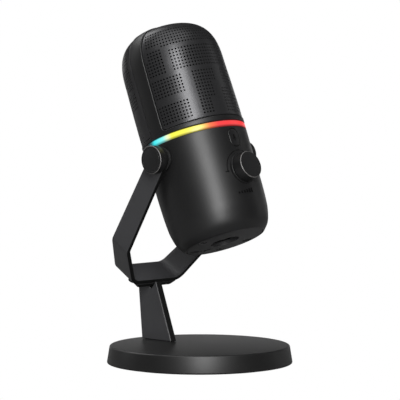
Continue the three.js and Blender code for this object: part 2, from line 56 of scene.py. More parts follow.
JOINTS = {joint["name"]: joint for joint in frame["joints"]}
PIVOT = Vector(JOINTS["tilt"]["pos_m"]) / MM
KNOB_AXIS = Vector(JOINTS["volume_turn"]["axis"])
MIC_LEAN = math.asin(KNOB_AXIS.z)
YOKE_LEAN = 31.7 * DEG

ON_STAND = Matrix.Identity(4)
ON_MIC = Matrix.Translation(PIVOT) @ Matrix.Rotation(-MIC_LEAN, 4, "X")
ON_YOKE = Matrix.Translation(PIVOT) @ Matrix.Rotation(YOKE_LEAN, 4, "X")
TO_FRONT = Matrix.Rotation(math.pi / 2, 4, "X")

# ---- Driving dimensions, in millimetres ----------------------------------------------------------

GAP = 0.3

BASE_RADIUS = 54.4
BASE_TOP_RADIUS = 52.7
BASE_TOP = 11
PAD_RADIUS = 50.7
PAD_THICKNESS = 1.2

STRIP = 2.5
YOKE_OUTER = 34.5
ARM_LENGTH = 60.6
YOKE_DEPTH = 83.9
CROSS_HALF = 19.2
BEND_RADIUS = 6
LOWER_BEND_RADIUS = 9
ARM_WIDTH = 13
BEND_WIDTH = 14.6
CROSS_WIDTH = 16.6
SADDLE = 2.1
SADDLE_HALF = 18.6
SADDLE_TAPER = 5.3

POST_THICKNESS = 4.7
POST_FRONT = 21.6
POST_REAR = 46.1
REAR_LEAN = 3.2
PRONG = (34.4, 46.1)
NOTCH = (38.4, 41.1)

WALL = 2.2
BOTTOM = -52.2
BOTTOM_RADIUS = 23.4
PLATE = 2.3
PLATE_RADIUS = 22.6
BODY_RADIUS = 30.6
DOME_START = 50
DOME_RADIUS = 30.4
DOME_LENGTH = 30.1
DOME_POWER = 3
SEAM = 14.85
BAND_FRONT = 6.2
BAND_REAR = 3.6
WINDOW_CORNER = 2.2
GRILLE_INSET = 0.4
GRILLE_WALL = 1.2
RIM = 0.35
HOOP_RIM = 0.6

RING_LOW = 8.85
RING_HIGH = 12.3
RING_RISE = -0.9
RING_INNER = 27.4

KNOB_HEIGHT = -18.3
KNOB_FACE = 37
KNOB_BEVEL = 0.3
KNOB_FACE_RADIUS = 8.05
KNOB_BASE_RADIUS = 8.8
KNOB_SEAT = 30.9
SHAFT_RADIUS = 3
MUTE_HEIGHT = 0.75
MUTE_WIDTH = 7.6
MUTE_LENGTH = 10.9
MUTE_BACK = 27

CLAMP_RADIUS = 8.1
CLAMP_FACE = 39.8
INSERT_RADIUS = 6.8
STUD_RADIUS = 2.5

SOCKET_HOLE = 8.5
THREAD_RADIUS = 7.95
USB_PLACE = (-8, 17)
BUTTON_PLACE = (-0.6, 15)
JACK_PLACE = (9.8, 15.6)
LEG_X = 18.6
BUTTON_RADIUS = 2.2
JACK_RADIUS = 3.1
JACK_BORE = 1.8

# The perforation: columns are counted from the front's left, rows from the top of the shoulder.
COLUMN_STEP = 3.62
FIRST_COLUMN = 164.6
COLUMNS = 42
ROW_STEP = 1.96
LAST_ROW = 29
LAST_ROW_HEIGHT = 17.8
HOLE_RADIUS = 0.55
HOLE_SIDES = 16


# ---- Shaping tools --------------------------------------------------------------------------------

def rounded(corners, closed=False, steps=5):
    """Points along straight lines between corners (x, y, radius), with the corners rounded."""
    points = []
    count = len(corners)
    for i, corner in enumerate(corners):
        radius = corner[2] if len(corner) > 2 else 0
        here = Vector(corner[:2])
        if radius == 0 or (not closed and i in (0, count - 1)):
            points.append(tuple(here))
            continue
        back = (Vector(corners[i - 1][:2]) - here).normalized()
        ahead = (Vector(corners[(i + 1) % count][:2]) - here).normalized()
        half = back.angle(ahead) / 2
        centre = here + (back + ahead).normalized() * (radius / math.sin(half))
        start = here + back * (radius / math.tan(half)) - centre
        end = here + ahead * (radius / math.tan(half)) - centre
        sweep = math.atan2(start.x * end.y - start.y * end.x, start.dot(end))
        for k in range(steps + 1):
            turn = Matrix.Rotation(sweep * k / steps, 2)
            points.append(tuple(centre + turn @ start))
    return points


def spun(points, steps=96, closed=False):
    """A surface turned about Z from (radius, height) points."""
    bm = bmesh.new()
    verts = [bm.verts.new((r, 0, z)) for r, z in points]
    pairs = list(zip(verts, verts[1:]))
    if closed:
        pairs.append((verts[-1], verts[0]))
    edges = [bm.edges.new(pair) for pair in pairs]
    bmesh.ops.spin(bm, geom=verts + edges, cent=(0, 0, 0), axis=(0, 0, 1),
                   angle=FULL_TURN, steps=steps, use_merge=True)
    bmesh.ops.remove_doubles(bm, verts=bm.verts[:], dist=1e-4)
    bmesh.ops.recalc_face_normals(bm, faces=bm.faces[:])
    return bm


def outward(bm):
    """Makes an open sheet about the Z axis face away from the axis."""
    bmesh.ops.recalc_face_normals(bm, faces=bm.faces[:])
    bm.normal_update()
    if sum(f.normal.dot(f.calc_center_median()) * f.calc_area() for f in bm.faces) < 0:
        bmesh.ops.reverse_faces(bm, faces=bm.faces[:])
    return bm


def prism(points, low, high):
    """An outline in X-Y, raised along Z from low to high."""
    bm = bmesh.new()
    face = bm.faces.new([bm.verts.new((x, y, low)) for x, y in points])
    raised = bmesh.ops.extrude_face_region(bm, geom=[face])
    top = [v for v in raised["geom"] if isinstance(v, bmesh.types.BMVert)]
    bmesh.ops.translate(bm, vec=(0, 0, high - low), verts=top)
    bmesh.ops.recalc_face_normals(bm, faces=bm.faces[:])
    return bm


def block(low, high):
    bm = bmesh.new()
    bmesh.ops.create_cube(bm, size=1)
    size = Vector(high) - Vector(low)
    middle = (Vector(high) + Vector(low)) / 2
    bm.transform(Matrix.Translation(middle) @ Matrix.Diagonal((*size, 1)))
    return bm


def moved(bm, matrix):
    bm.transform(matrix)
    if matrix.determinant() < 0:
        bmesh.ops.reverse_faces(bm, faces=bm.faces[:])
    return bm


def softened(bm, width, segments=3, angle=35):
    """Rounds every edge that is sharper than the angle, in degrees."""
    sharp = [e for e in bm.edges if len(e.link_faces) == 2 and e.calc_face_angle() > angle * DEG]
    bmesh.ops.bevel(bm, geom=sharp, offset=width, offset_type="OFFSET", affect="EDGES",
                    segments=segments, profile=0.5, material=-1, clamp_overlap=True)
    return bm


def joined(*parts):
    """Several closed shapes as one mesh."""
    whole = bmesh.new()
    for part in parts:
        mesh = bpy.data.meshes.new("part")
        part.to_mesh(mesh)
        part.free()
        whole.from_mesh(mesh)
        bpy.data.meshes.remove(mesh)
    return whole


def carved(bm, *tools, operation="DIFFERENCE"):
    """Cuts the tools out of a closed shape, or keeps or adds what they share."""
    objects = []
    for shape in (bm, *tools):
        mesh = bpy.data.meshes.new("work")
        shape.to_mesh(mesh)
        shape.free()
        work = bpy.data.objects.new("work", mesh)
        bpy.context.scene.collection.objects.link(work)
        objects.append(work)
    target = objects[0]
    for tool in objects[1:]:
        step = target.modifiers.new("carve", "BOOLEAN")
        step.object = tool
        step.operation = operation
        step.solver = "EXACT"
    graph = bpy.context.evaluated_depsgraph_get()
    made = bpy.data.meshes.new_from_object(target.evaluated_get(graph))
    result = bmesh.new()
    result.from_mesh(made)
    bpy.data.meshes.remove(made)
    for work in objects:
        mesh = work.data
        bpy.data.objects.remove(work)
        bpy.data.meshes.remove(mesh)
    return result


def rim_directions(bm, edges):
    """For each vertex on an open rim: the way out of the sheet, and the sheet's normal."""
    out = {}
    for edge in edges:
        face = edge.link_faces[0]
        loop = next(l for l in face.loops if l.edge == edge)
        along = (loop.link_loop_next.vert.co - loop.vert.co).normalized()
        away = along.cross(face.normal)
        for vert in edge.verts:
            out[vert] = out.get(vert, Vector()) + away
    return {v: (way.normalized(), v.normal.copy()) for v, way in out.items()}


def grown(bm, edges, state, place):
    """Extrudes a rim once, and puts each new vertex where place says."""
    made = bmesh.ops.extrude_edge_only(bm, edges=edges)["geom"]
    fresh = {g for g in made if isinstance(g, bmesh.types.BMVert)}
    following = {}
    for vert in fresh:
        old = next(e.other_vert(vert) for e in vert.link_edges if e.other_vert(vert) in state)
        following[vert] = state[old]
        vert.co = place(*state[old])
    outer = [g for g in made if isinstance(g, bmesh.types.BMEdge)
             and g.verts[0] in fresh and g.verts[1] in fresh]
    return outer, following


def shelled(bm, wall, radius=0.0, steps=3, chosen=None):
    """Closes an outward-facing sheet with an inner wall. The chosen open rims are rounded over."""
    bm.normal_update()
    rims = [e for e in bm.edges if e.is_boundary]
    soft = [e for e in rims if radius and (chosen is None or chosen(e))]
    taken = set(soft)
    hard = [e for e in rims if e not in taken]
    ways = rim_directions(bm, soft)
    normals = {v: v.normal.copy() for v in bm.verts}
    copy = bmesh.ops.duplicate(bm, geom=bm.verts[:] + bm.edges[:] + bm.faces[:])
    twin = copy["vert_map"]
    inner = [g for g in copy["geom"] if isinstance(g, bmesh.types.BMFace)]
    bmesh.ops.reverse_faces(bm, faces=inner)
    for vert, normal in normals.items():
        out = ways[vert][0] * radius if vert in ways else Vector()
        twin[vert].co = vert.co - normal * wall + out
    state = {v: (v.co.copy(), *ways[v], twin[v].co.copy()) for v in ways}
    edges = soft
    for k in range(1, steps + 1 if soft else 1):
        angle = k / steps * math.pi / 2
        edges, state = grown(bm, edges, state, lambda start, out, normal, end: (
            start + out * (radius * math.sin(angle)) - normal * (radius * (1 - math.cos(angle)))))
    if soft:
        grown(bm, edges, state, lambda start, out, normal, end: end)
    if hard:
        ends = {v: (twin[v].co.copy(),) for e in hard for v in e.verts}
        grown(bm, hard, ends, lambda end: end)
    bmesh.ops.remove_doubles(bm, verts=bm.verts[:], dist=1e-4)
    bmesh.ops.recalc_face_normals(bm, faces=bm.faces[:])
    return bm


def piece(name, bm, place, finishes, body, stands_for=(), sharp=32):
    """Makes the finished object: in place, in metres, shaded, and riding on its body."""
    bm.transform(Matrix.Scale(MM, 4) @ place)
    bm.normal_update()
    for face in bm.faces:
        face.smooth = True
    for edge in bm.edges:
        edge.smooth = len(edge.link_faces) == 2 and edge.calc_face_angle() < sharp * DEG
    mesh = bpy.data.meshes.new(name)
    bm.to_mesh(mesh)
    bm.free()
    obj = bpy.data.objects.new(name, mesh)
    bpy.context.scene.collection.objects.link(obj)
    for material in finishes if isinstance(finishes, (list, tuple)) else [finishes]:
        mesh.materials.append(material)
    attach(obj, body)
    if stands_for:
        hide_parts(*stands_for)
    return obj


# ---- Effects shared by the finishes ----------------------------------------------------------------

def effect(name, inputs, outputs):
    """A new node group with named float inputs and named outputs."""
    group = bpy.data.node_groups.new(name, "ShaderNodeTree")
    for label, value in inputs.items():
        socket = group.interface.new_socket(label, in_out="INPUT", socket_type="NodeSocketFloat")
        socket.default_value = value
    for label, kind in outputs.items():
        group.interface.new_socket(label, in_out="OUTPUT", socket_type=kind)
    source = group.nodes.new("NodeGroupInput")
    sink = group.nodes.new("NodeGroupOutput")
    coordinates = group.nodes.new("ShaderNodeTexCoord")
    return group, source, sink, coordinates.outputs["Object"]


def math_node(tree, operation, first, second=None, clamp=False):
    node = tree.nodes.new("ShaderNodeMath")
    node.operation = operation
    node.use_clamp = clamp
    for socket, value in zip(node.inputs, (first, second)):
        if value is None:
            continue
        if isinstance(value, (int, float)):
            socket.default_value = value
        else:
            tree.links.new(value, socket)
    return node.outputs[0]


def noise(tree, vector, scale, detail=2.0, roughness=0.5):
    node = tree.nodes.new("ShaderNodeTexNoise")
    tree.links.new(vector, node.inputs["Vector"])
    if isinstance(scale, (int, float)):
        node.inputs["Scale"].default_value = scale
    else:
        tree.links.new(scale, node.inputs["Scale"])
    node.inputs["Detail"].default_value = detail
    node.inputs["Roughness"].default_value = roughness
    return node.outputs["Fac"]


def moulded_grain():
    """The fine spark-eroded grain of moulded plastic."""
    group, source, sink, place = effect(
        "moulded_grain", {"Grain Scale": 2600.0}, {"Height": "NodeSocketFloat", "Mask": "NodeSocketFloat"})
    fine = noise(group, place, source.outputs["Grain Scale"], 2.0, 0.6)
    coarse_scale = math_node(group, "MULTIPLY", source.outputs["Grain Scale"], 0.36)
    coarse = noise(group, place, coarse_scale, 1.0, 0.5)
    height = math_node(group, "MULTIPLY_ADD", coarse, 0.6)
    group.links.new(fine, height.node.inputs[2])
    group.links.new(height, sink.inputs["Height"])
    group.links.new(fine, sink.inputs["Mask"])
    return group


def orange_peel():
    """The softly dimpled skin of a powder coat."""
    group, source, sink, place = effect(
        "orange_peel", {"Dimple Scale": 900.0}, {"Height": "NodeSocketFloat", "Mask": "NodeSocketFloat"})
    dimples = noise(group, place, source.outputs["Dimple Scale"], 1.0, 0.4)
    speckle_scale = math_node(group, "MULTIPLY", source.outputs["Dimple Scale"], 4.0)
    speckle = noise(group, place, speckle_scale, 2.0, 0.7)
    height = math_node(group, "MULTIPLY_ADD", speckle, 0.25)
    group.links.new(dimples, height.node.inputs[2])
    group.links.new(height, sink.inputs["Height"])
    group.links.new(speckle, sink.inputs["Mask"])
    return group


def handling():
    """Large, faint patches where hands have polished or greased the surface."""
    group, source, sink, place = effect(
        "handling", {"Patch Scale": 38.0, "Contrast": 1.6}, {"Mask": "NodeSocketFloat"})
    patches = noise(group, place, source.outputs["Patch Scale"], 3.0, 0.55)
    centred = math_node(group, "SUBTRACT", patches, 0.5)
    stretched = math_node(group, "MULTIPLY", centred, source.outputs["Contrast"])
    mask = math_node(group, "ADD", stretched, 0.5, clamp=True)
    group.links.new(mask, sink.inputs["Mask"])
    return group


def turned_lines():
    """Fine tool lines of turned or brushed metal, across one axis."""
    group, source, sink, place = effect(
        "turned_lines", {"Line Scale": 1500.0}, {"Height": "NodeSocketFloat", "Mask": "NodeSocketFloat"})
    mapping = group.nodes.new("ShaderNodeMapping")
    mapping.inputs["Scale"].default_value = (0.03, 0.03, 1.0)
    group.links.new(place, mapping.inputs["Vector"])
    lines = noise(group, mapping.outputs["Vector"], source.outputs["Line Scale"], 2.0, 0.6)
    group.links.new(lines, sink.inputs["Height"])
    group.links.new(lines, sink.inputs["Mask"])
    return group


GRAIN = moulded_grain()
PEEL = orange_peel()
HANDLING = handling()
LINES = turned_lines()


# ---- Finishes ---------------------------------------------------------------------------------------

def new_material(name):
    material = bpy.data.materials.new(name)
    material.use_nodes = True
    tree = material.node_tree
    shader = tree.nodes["Principled BSDF"]
    return material, tree, shader


def place_group(tree, group, **values):
    node = tree.nodes.new("ShaderNodeGroup")
    node.node_tree = group
    for label, value in values.items():
        node.inputs[label.replace("_", " ")].default_value = value
    return node


def blend_colour(tree, mask, dark, light):
    mix = tree.nodes.new("ShaderNodeMix")
    mix.data_type = "RGBA"
    mix.inputs["A"].default_value = (*dark, 1)
    mix.inputs["B"].default_value = (*light, 1)
    tree.links.new(mask, mix.inputs["Factor"])
    return mix.outputs["Result"]


def blend_value(tree, mask, low, high):
    spread = tree.nodes.new("ShaderNodeMapRange")
    spread.inputs["To Min"].default_value = low
    spread.inputs["To Max"].default_value = high
    tree.links.new(mask, spread.inputs["Value"])
    return spread.outputs["Result"]


def bumped(tree, shader, height, strength, distance):
    bump = tree.nodes.new("ShaderNodeBump")
    bump.inputs["Strength"].default_value = strength
    bump.inputs["Distance"].default_value = distance
    tree.links.new(height, bump.inputs["Height"])
    tree.links.new(bump.outputs["Normal"], shader.inputs["Normal"])


def finish(name, texture, dark, light, rough, relief, metallic=0.0, patch=38.0, scale=None,
           specular=0.5, coat=0.0, coat_rough=0.3, sheen=0.0):
    """A finish with a surface texture, faint handling marks, and colour and roughness that vary."""
    material, tree, shader = new_material(name)
    grain = place_group(tree, texture)
    if scale is not None:
        grain.inputs[0].default_value = scale
    marks = place_group(tree, HANDLING, Patch_Scale=patch)
    blend = math_node(tree, "MULTIPLY_ADD", grain.outputs["Mask"], 0.35)
    share = math_node(tree, "MULTIPLY", marks.outputs["Mask"], 0.65)
    tree.links.new(share, blend.node.inputs[2])
    tree.links.new(blend_colour(tree, blend, dark, light), shader.inputs["Base Color"])
    tree.links.new(blend_value(tree, blend, *rough), shader.inputs["Roughness"])
    bumped(tree, shader, grain.outputs["Height"], *relief)
    shader.inputs["Metallic"].default_value = metallic
    shader.inputs["Specular IOR Level"].default_value = specular
    shader.inputs["Coat Weight"].default_value = coat
    shader.inputs["Coat Roughness"].default_value = coat_rough
    shader.inputs["Sheen Weight"].default_value = sheen
    return material


BODY_PLASTIC = finish("body_plastic", GRAIN, (0.0050, 0.0050, 0.0052), (0.0072, 0.0072, 0.0075),
                      (0.40, 0.47), (0.12, 0.00006))
# Painted light: a lighter copy of the body plastic for the bottom cover, standing for light that reaches the
# underside from below.
PLASTIC_PAINTED_LIGHT_BELOW = finish("plastic_painted_light_below", GRAIN, (0.028, 0.028, 0.029), (0.036, 0.036, 0.037),
                       (0.48, 0.58), (0.15, 0.00006))
CONTROL_PLASTIC = finish("control_plastic", GRAIN, (0.0055, 0.0055, 0.0057), (0.0080, 0.0080, 0.0083),
                         (0.36, 0.45), (0.15, 0.00005), scale=3200.0)
GRILLE_METAL = finish("grille_metal", PEEL, (0.042, 0.042, 0.044), (0.056, 0.056, 0.058),
                      (0.31, 0.38), (0.08, 0.00006), metallic=0.7, scale=1400.0)
YOKE_PAINT = finish("yoke_paint", PEEL, (0.033, 0.033, 0.035), (0.043, 0.043, 0.046),
                    (0.42, 0.5), (0.2, 0.00008))
# Painted shade: a darker, duller copy of the yoke paint, put on the faces along the edges of the yoke, post and
# saddle, which stand in shade.
PAINTED_SHADE_EDGES = finish("painted_shade_edges", PEEL, (0.003, 0.003, 0.003), (0.006, 0.006, 0.006),
                    (0.55, 0.65), (0.2, 0.00008), specular=0.2)
BASE_PAINT = finish("base_paint", PEEL, (0.0050, 0.0050, 0.0050), (0.0070, 0.0070, 0.0070),
                    (0.42, 0.48), (0.12, 0.00006), patch=22.0)
RUBBER = finish("rubber", GRAIN, (0.008, 0.008, 0.008), (0.014, 0.014, 0.014),
                (0.75, 0.9), (0.3, 0.0001), specular=0.3)
STEEL = finish("steel", LINES, (0.45, 0.45, 0.46), (0.6, 0.6, 0.61),
               (0.25, 0.38), (0.1, 0.00004), metallic=1.0)
# Painted highlight: a light rim on the knobs' bevels, standing for the bright line that light draws along the
# chamfer.
PAINTED_HIGHLIGHT_RIM = finish("painted_highlight_rim", GRAIN, (0.10, 0.096, 0.095), (0.14, 0.134, 0.132),
                  (0.35, 0.45), (0.08, 0.00004))
SOCKET_STEEL = finish("socket_steel", LINES, (0.16, 0.16, 0.165), (0.24, 0.24, 0.245),
                      (0.3, 0.42), (0.1, 0.00004), metallic=1.0)
DARK_STEEL = finish("dark_steel", LINES, (0.04, 0.04, 0.042), (0.07, 0.07, 0.072),
                    (0.3, 0.42), (0.1, 0.00004), metallic=0.9)
BRASS = finish("brass", LINES, (0.55, 0.38, 0.15), (0.7, 0.52, 0.24),
               (0.25, 0.4), (0.1, 0.00004), metallic=1.0)
CIRCUIT = finish("circuit", PEEL, (0.01, 0.05, 0.02), (0.02, 0.08, 0.035),
                 (0.3, 0.42), (0.1, 0.00004), scale=600.0)
FOAM = finish("foam", GRAIN, (0.004, 0.004, 0.004), (0.009, 0.009, 0.01),
              (0.95, 1.0), (0.8, 0.0004), scale=1300.0, specular=0.1)
PRINT = finish("pad_print", GRAIN, (0.002, 0.002, 0.002), (0.003, 0.003, 0.003),
               (0.7, 0.8), (0.05, 0.00002), specular=0.1)


def light_pipe():
    """A diffuser lit from behind: its colour sweeps round the body's axis."""
    material, tree, shader = new_material("light_pipe")
    place = tree.nodes.new("ShaderNodeTexCoord").outputs["Object"]
    centred = tree.nodes.new("ShaderNodeVectorMath")
    centred.operation = "SUBTRACT"
    centred.inputs[1].default_value = PIVOT * MM
    tree.links.new(place, centred.inputs[0])
    upright = tree.nodes.new("ShaderNodeMapping")
    upright.inputs["Rotation"].default_value = (MIC_LEAN, 0, 0)
    tree.links.new(centred.outputs[0], upright.inputs["Vector"])
    split = tree.nodes.new("ShaderNodeSeparateXYZ")
    tree.links.new(upright.outputs["Vector"], split.inputs["Vector"])
    front = math_node(tree, "MULTIPLY", split.outputs["Y"], -1.0)
    turn = math_node(tree, "ARCTAN2", front, split.outputs["X"])
    share = math_node(tree, "DIVIDE", turn, FULL_TURN)
    wrapped = math_node(tree, "FRACT", share)
    ramp = tree.nodes.new("ShaderNodeValToRGB")
    tree.links.new(wrapped, ramp.inputs["Fac"])
    red = (0.92, 0.025, 0.028)
    dark = (0.0, 0.0, 0.0)
    stops = [
        (0, (0.75, 0.02, 0.05)), (50, red), (106, red), (116, (1.0, 0.16, 0.03)),
        (122, (1.0, 0.5, 0.05)), (129, (1.0, 0.88, 0.05)), (160, (1.0, 0.95, 0.05)),
        (165, (0.9, 1.0, 0.55)), (171, (0.25, 0.9, 0.88)), (184, (0.02, 0.75, 0.80)), (190, (0.0, 0.1, 0.12)), (196, dark),
        (340, dark), (360, (0.75, 0.02, 0.05)),
    ]
    elements = ramp.color_ramp.elements
    elements[0].position = 0
    elements[1].position = 1
    elements[0].color = (*stops[0][1], 1)
    elements[1].color = (*stops[-1][1], 1)
    for degrees, colour in stops[1:-1]:
        element = elements.new(degrees / 360)
        element.color = (*colour, 1)
    rise = math_node(tree, "MULTIPLY", split.outputs["Y"], RING_RISE / BODY_RADIUS)
    level = math_node(tree, "ADD", split.outputs["Z"], rise)
    across = tree.nodes.new("ShaderNodeMapRange")
    across.inputs["From Min"].default_value = RING_LOW * MM
    across.inputs["From Max"].default_value = RING_HIGH * MM
    tree.links.new(level, across.inputs["Value"])
    glow = tree.nodes.new("ShaderNodeValToRGB")
    tree.links.new(across.outputs["Result"], glow.inputs["Fac"])
    glow.color_ramp.elements[0].color = (0.28, 0.28, 0.28, 1)
    glow.color_ramp.elements[1].color = (0.4, 0.4, 0.4, 1)
    for position in (0.4, 0.8):
        core = glow.color_ramp.elements.new(position)
        core.color = (1.1, 1.1, 1.1, 1)
    grain = place_group(tree, GRAIN)
    bumped(tree, shader, grain.outputs["Height"], 0.05, 0.00003)
    lit = tree.nodes.new("ShaderNodeMix")
    lit.data_type = "RGBA"
    lit.blend_type = "MULTIPLY"
    lit.inputs["Factor"].default_value = 1
    tree.links.new(ramp.outputs["Color"], lit.inputs["A"])
    tree.links.new(glow.outputs["Color"], lit.inputs["B"])
    tree.links.new(lit.outputs["Result"], shader.inputs["Emission Color"])
    shader.inputs["Base Color"].default_value = (0.03, 0.03, 0.031, 1)
    shader.inputs["Emission Strength"].default_value = 1.0
    shader.inputs["Roughness"].default_value = 0.35
    return material


LIGHT_PIPE = light_pipe()


# ---- The body's outline ---------------------------------------------------------------------------

SIDE = [
    (BOTTOM_RADIUS, BOTTOM), (24.3, -51.5), (27.3, -47.6), (29.1, -41.6), (29.9, -35.6),
    (30.4, -23.6), (BODY_RADIUS, 0), (30.9, 17), (30.8, 32), (DOME_RADIUS, DOME_START),
]


def smooth_side(steps=6):
    """A smooth curve through the outline's points, from the bottom face to the shoulder."""
    shoulder = (DOME_RADIUS - 0.5, DOME_START + 15)
    points = [SIDE[0], *SIDE, shoulder]
    curve = []
    for p0, p1, p2, p3 in zip(points, points[1:], points[2:], points[3:]):
        for k in range(steps):
            t = k / steps
            curve.append(tuple(
                0.5 * (2 * b + (c - a) * t + (2 * a - 5 * b + 4 * c - d) * t * t
                       + (3 * b - a - 3 * c + d) * t ** 3)
                for a, b, c, d in zip(p0, p1, p2, p3)))
    curve.append(SIDE[-1])
    return curve


def dome(inset=0.0, steps=28):
    """The superellipse above the shoulder, up to the axis."""
    points = []
    for i in range(1, steps + 1):
        angle = i / steps * math.pi / 2
        r = (DOME_RADIUS - inset) * math.cos(angle) ** (2 / DOME_POWER)
        z = DOME_START + (DOME_LENGTH - inset) * math.sin(angle) ** (2 / DOME_POWER)
        points.append((0.0 if i == steps else r, z))
    return points


SIDE_CURVE = smooth_side()


def side_radius(height):
    """The body's radius at a height on the side or the dome."""
    if height > DOME_START:
        share = min(1.0, (height - DOME_START) / DOME_LENGTH)
        return DOME_RADIUS * (1 - share ** DOME_POWER) ** (1 / DOME_POWER)
    for (r0, z0), (r1, z1) in zip(SIDE_CURVE, SIDE_CURVE[1:]):
        if z0 <= height <= z1:
            return r0 + (r1 - r0) * (height - z0) / (z1 - z0)
    return SIDE_CURVE[0][0]


def body_sheet(low, high=None, inset=0.0, steps=192):
    """The body's outer skin as an open sheet between two heights."""
    side = [(r - inset, z) for r, z in SIDE_CURVE if z >= low and (high is None or z <= high)]
    top = dome(inset) if high is None else [(side_radius(high) - inset, high)]
    if side[0][1] > low:
        side.insert(0, (side_radius(low) - inset, low))
    return spun(side + top, steps)


def ring_plane(height, rise):
    """A point on, and the upward normal of, one edge plane of the light ring."""
    return Vector((0, 0, height)), Vector((0, rise / BODY_RADIUS, 1)).normalized()


def trimmed(bm, point, normal):
    """Cuts away what lies on the normal's side of a plane."""
    bmesh.ops.bisect_plane(bm, geom=bm.verts[:] + bm.edges[:] + bm.faces[:], dist=1e-4,
                           plane_co=point, plane_no=normal, clear_outer=True)
    return bm


# ---- Stand --------------------------------------------------------------------------------------

def make_base():
    recess = PAD_THICKNESS + GAP
    low = PAD_THICKNESS / 2
    plate = spun(rounded([
        (0, recess), (PAD_RADIUS + GAP, recess, 0.2), (PAD_RADIUS + GAP, low, 0.2),
        (BASE_RADIUS, low, 0.7), (BASE_TOP_RADIUS, BASE_TOP, 1.1), (0, BASE_TOP),
    ]), 256)
    piece("base_disc", plate, ON_STAND, BASE_PAINT, "stand", ["base_plate"])
    pad = spun(rounded([
        (0, 0), (PAD_RADIUS, 0, 0.5), (PAD_RADIUS, PAD_THICKNESS), (0, PAD_THICKNESS),
    ]), 192)
    piece("base_foot", pad, ON_STAND, RUBBER, "stand", ["base_pad"])


def make_post():
    down = Vector((math.sin(YOKE_LEAN), -math.cos(YOKE_LEAN)))
    across = Vector((math.cos(YOKE_LEAN), math.sin(YOKE_LEAN)))
    under = YOKE_DEPTH + GAP + SADDLE + GAP
    foot = Vector((0, PIVOT.z))
    seat_front = foot + down * under - across * 6.2
    seat_rear = foot + down * under + across * 3.4
    outline = rounded([
        (POST_FRONT, BASE_TOP + 0.2), (*PRONG, 0.3), (*NOTCH, 0.5), (*seat_front, 0.3),
        (*seat_rear, 0.3), (POST_REAR + REAR_LEAN, seat_rear.y - 3, 0.6), (POST_REAR, BASE_TOP + 0.2),
    ], closed=True, steps=3)
    half = POST_THICKNESS / 2
    blade = prism(outline, -half, half)
    softened(blade, 0.5, 1, 60)
    # The blade's edge faces take the darker paint: painted shade.
    edged(blade, lambda face: abs(face.normal.z) < 0.5)
    upright = Matrix(((0, 0, 1, 0), (1, 0, 0, 0), (0, 1, 0, 0), (0, 0, 0, 1)))
    piece("post_blade", moved(blade, upright), ON_STAND, (YOKE_PAINT, PAINTED_SHADE_EDGES), "stand", ["post"])


def strip_line(offset):
    """The yoke strip's line at a depth below its outer face, from one arm's top to the other's."""
    diagonal = math.atan2(YOKE_DEPTH - ARM_LENGTH, YOKE_OUTER - CROSS_HALF)
    side = YOKE_OUTER - offset
    bend = -ARM_LENGTH + offset * math.tan((math.pi / 2 - diagonal) / 2)
    cross = CROSS_HALF - offset * math.tan(diagonal / 2)
    low = -YOKE_DEPTH + offset
    upper, lower = BEND_RADIUS - offset, LOWER_BEND_RADIUS - offset
    return [
        (-side, ARM_WIDTH / 2), (-side, bend, upper), (-cross, low, lower),
        (cross, low, lower), (side, bend, upper), (side, ARM_WIDTH / 2),
    ]


def edged(bm, is_edge):
    """Gives the faces along a plate's edge the second finish: a darker paint on the yoke, post and saddle, which
    is painted shade, and a light rim round the knobs' faces, which is a painted highlight.
    """
    bm.normal_update()
    for face in bm.faces:
        face.material_index = 1 if is_edge(face) else 0


def strip_half_width(depth):
    """Half the strip's width at a distance below the pivot."""
    if depth < 0:
        return math.sqrt(max(0.0, (ARM_WIDTH / 2) ** 2 - depth ** 2))
    if depth < ARM_LENGTH:
        share = depth / ARM_LENGTH
        return (ARM_WIDTH + (BEND_WIDTH - ARM_WIDTH) * share) / 2
    share = min(1.0, (depth - ARM_LENGTH) / (YOKE_DEPTH - 4 - ARM_LENGTH))
    return (BEND_WIDTH + (CROSS_WIDTH - BEND_WIDTH) * share) / 2


def divided(points, longest):
    """Splits the long stretches of a path."""
    path = [Vector(points[0])]
    for a, b in zip(points, points[1:]):
        start, end = Vector(a), Vector(b)
        count = max(1, math.ceil((end - start).length / longest))
        path.extend(start.lerp(end, k / count) for k in range(1, count + 1))
    return path


def is_strip_edge(face):
    above_pivot = face.calc_center_median().z > 0
    return abs(face.normal.y) > 0.95 or (above_pivot and abs(face.normal.x) < 0.3)


def make_yoke():
    rounding = [0.1, 0.35, 1.0, 2.0, 3.2, 4.6]
    points = rounded(strip_line(0), steps=8)
    points[0:1] = [(points[0][0], ARM_WIDTH / 2 - t) for t in rounding]
    points[-1:] = [(points[-1][0], ARM_WIDTH / 2 - t) for t in reversed(rounding)]
    path = divided(points, 3.0)
    bm = bmesh.new()
    bmesh.ops.create_grid(bm, x_segments=8, y_segments=len(path) - 1, size=0.5)
    for vert in bm.verts:
        row = round((vert.co.y + 0.5) * (len(path) - 1))
        half = strip_half_width(-path[row].y)
        vert.co = Vector((path[row].x, vert.co.x * 2 * half, path[row].y))
    bm.normal_update()
    outward(bm)
    shelled(bm, STRIP)
    softened(bm, 0.4, 2, 60)
    # The strip's edge faces take the darker paint: painted shade.
    edged(bm, is_strip_edge)
    piece("yoke_strip", bm, ON_YOKE, (YOKE_PAINT, PAINTED_SHADE_EDGES), "stand", ["yoke"])


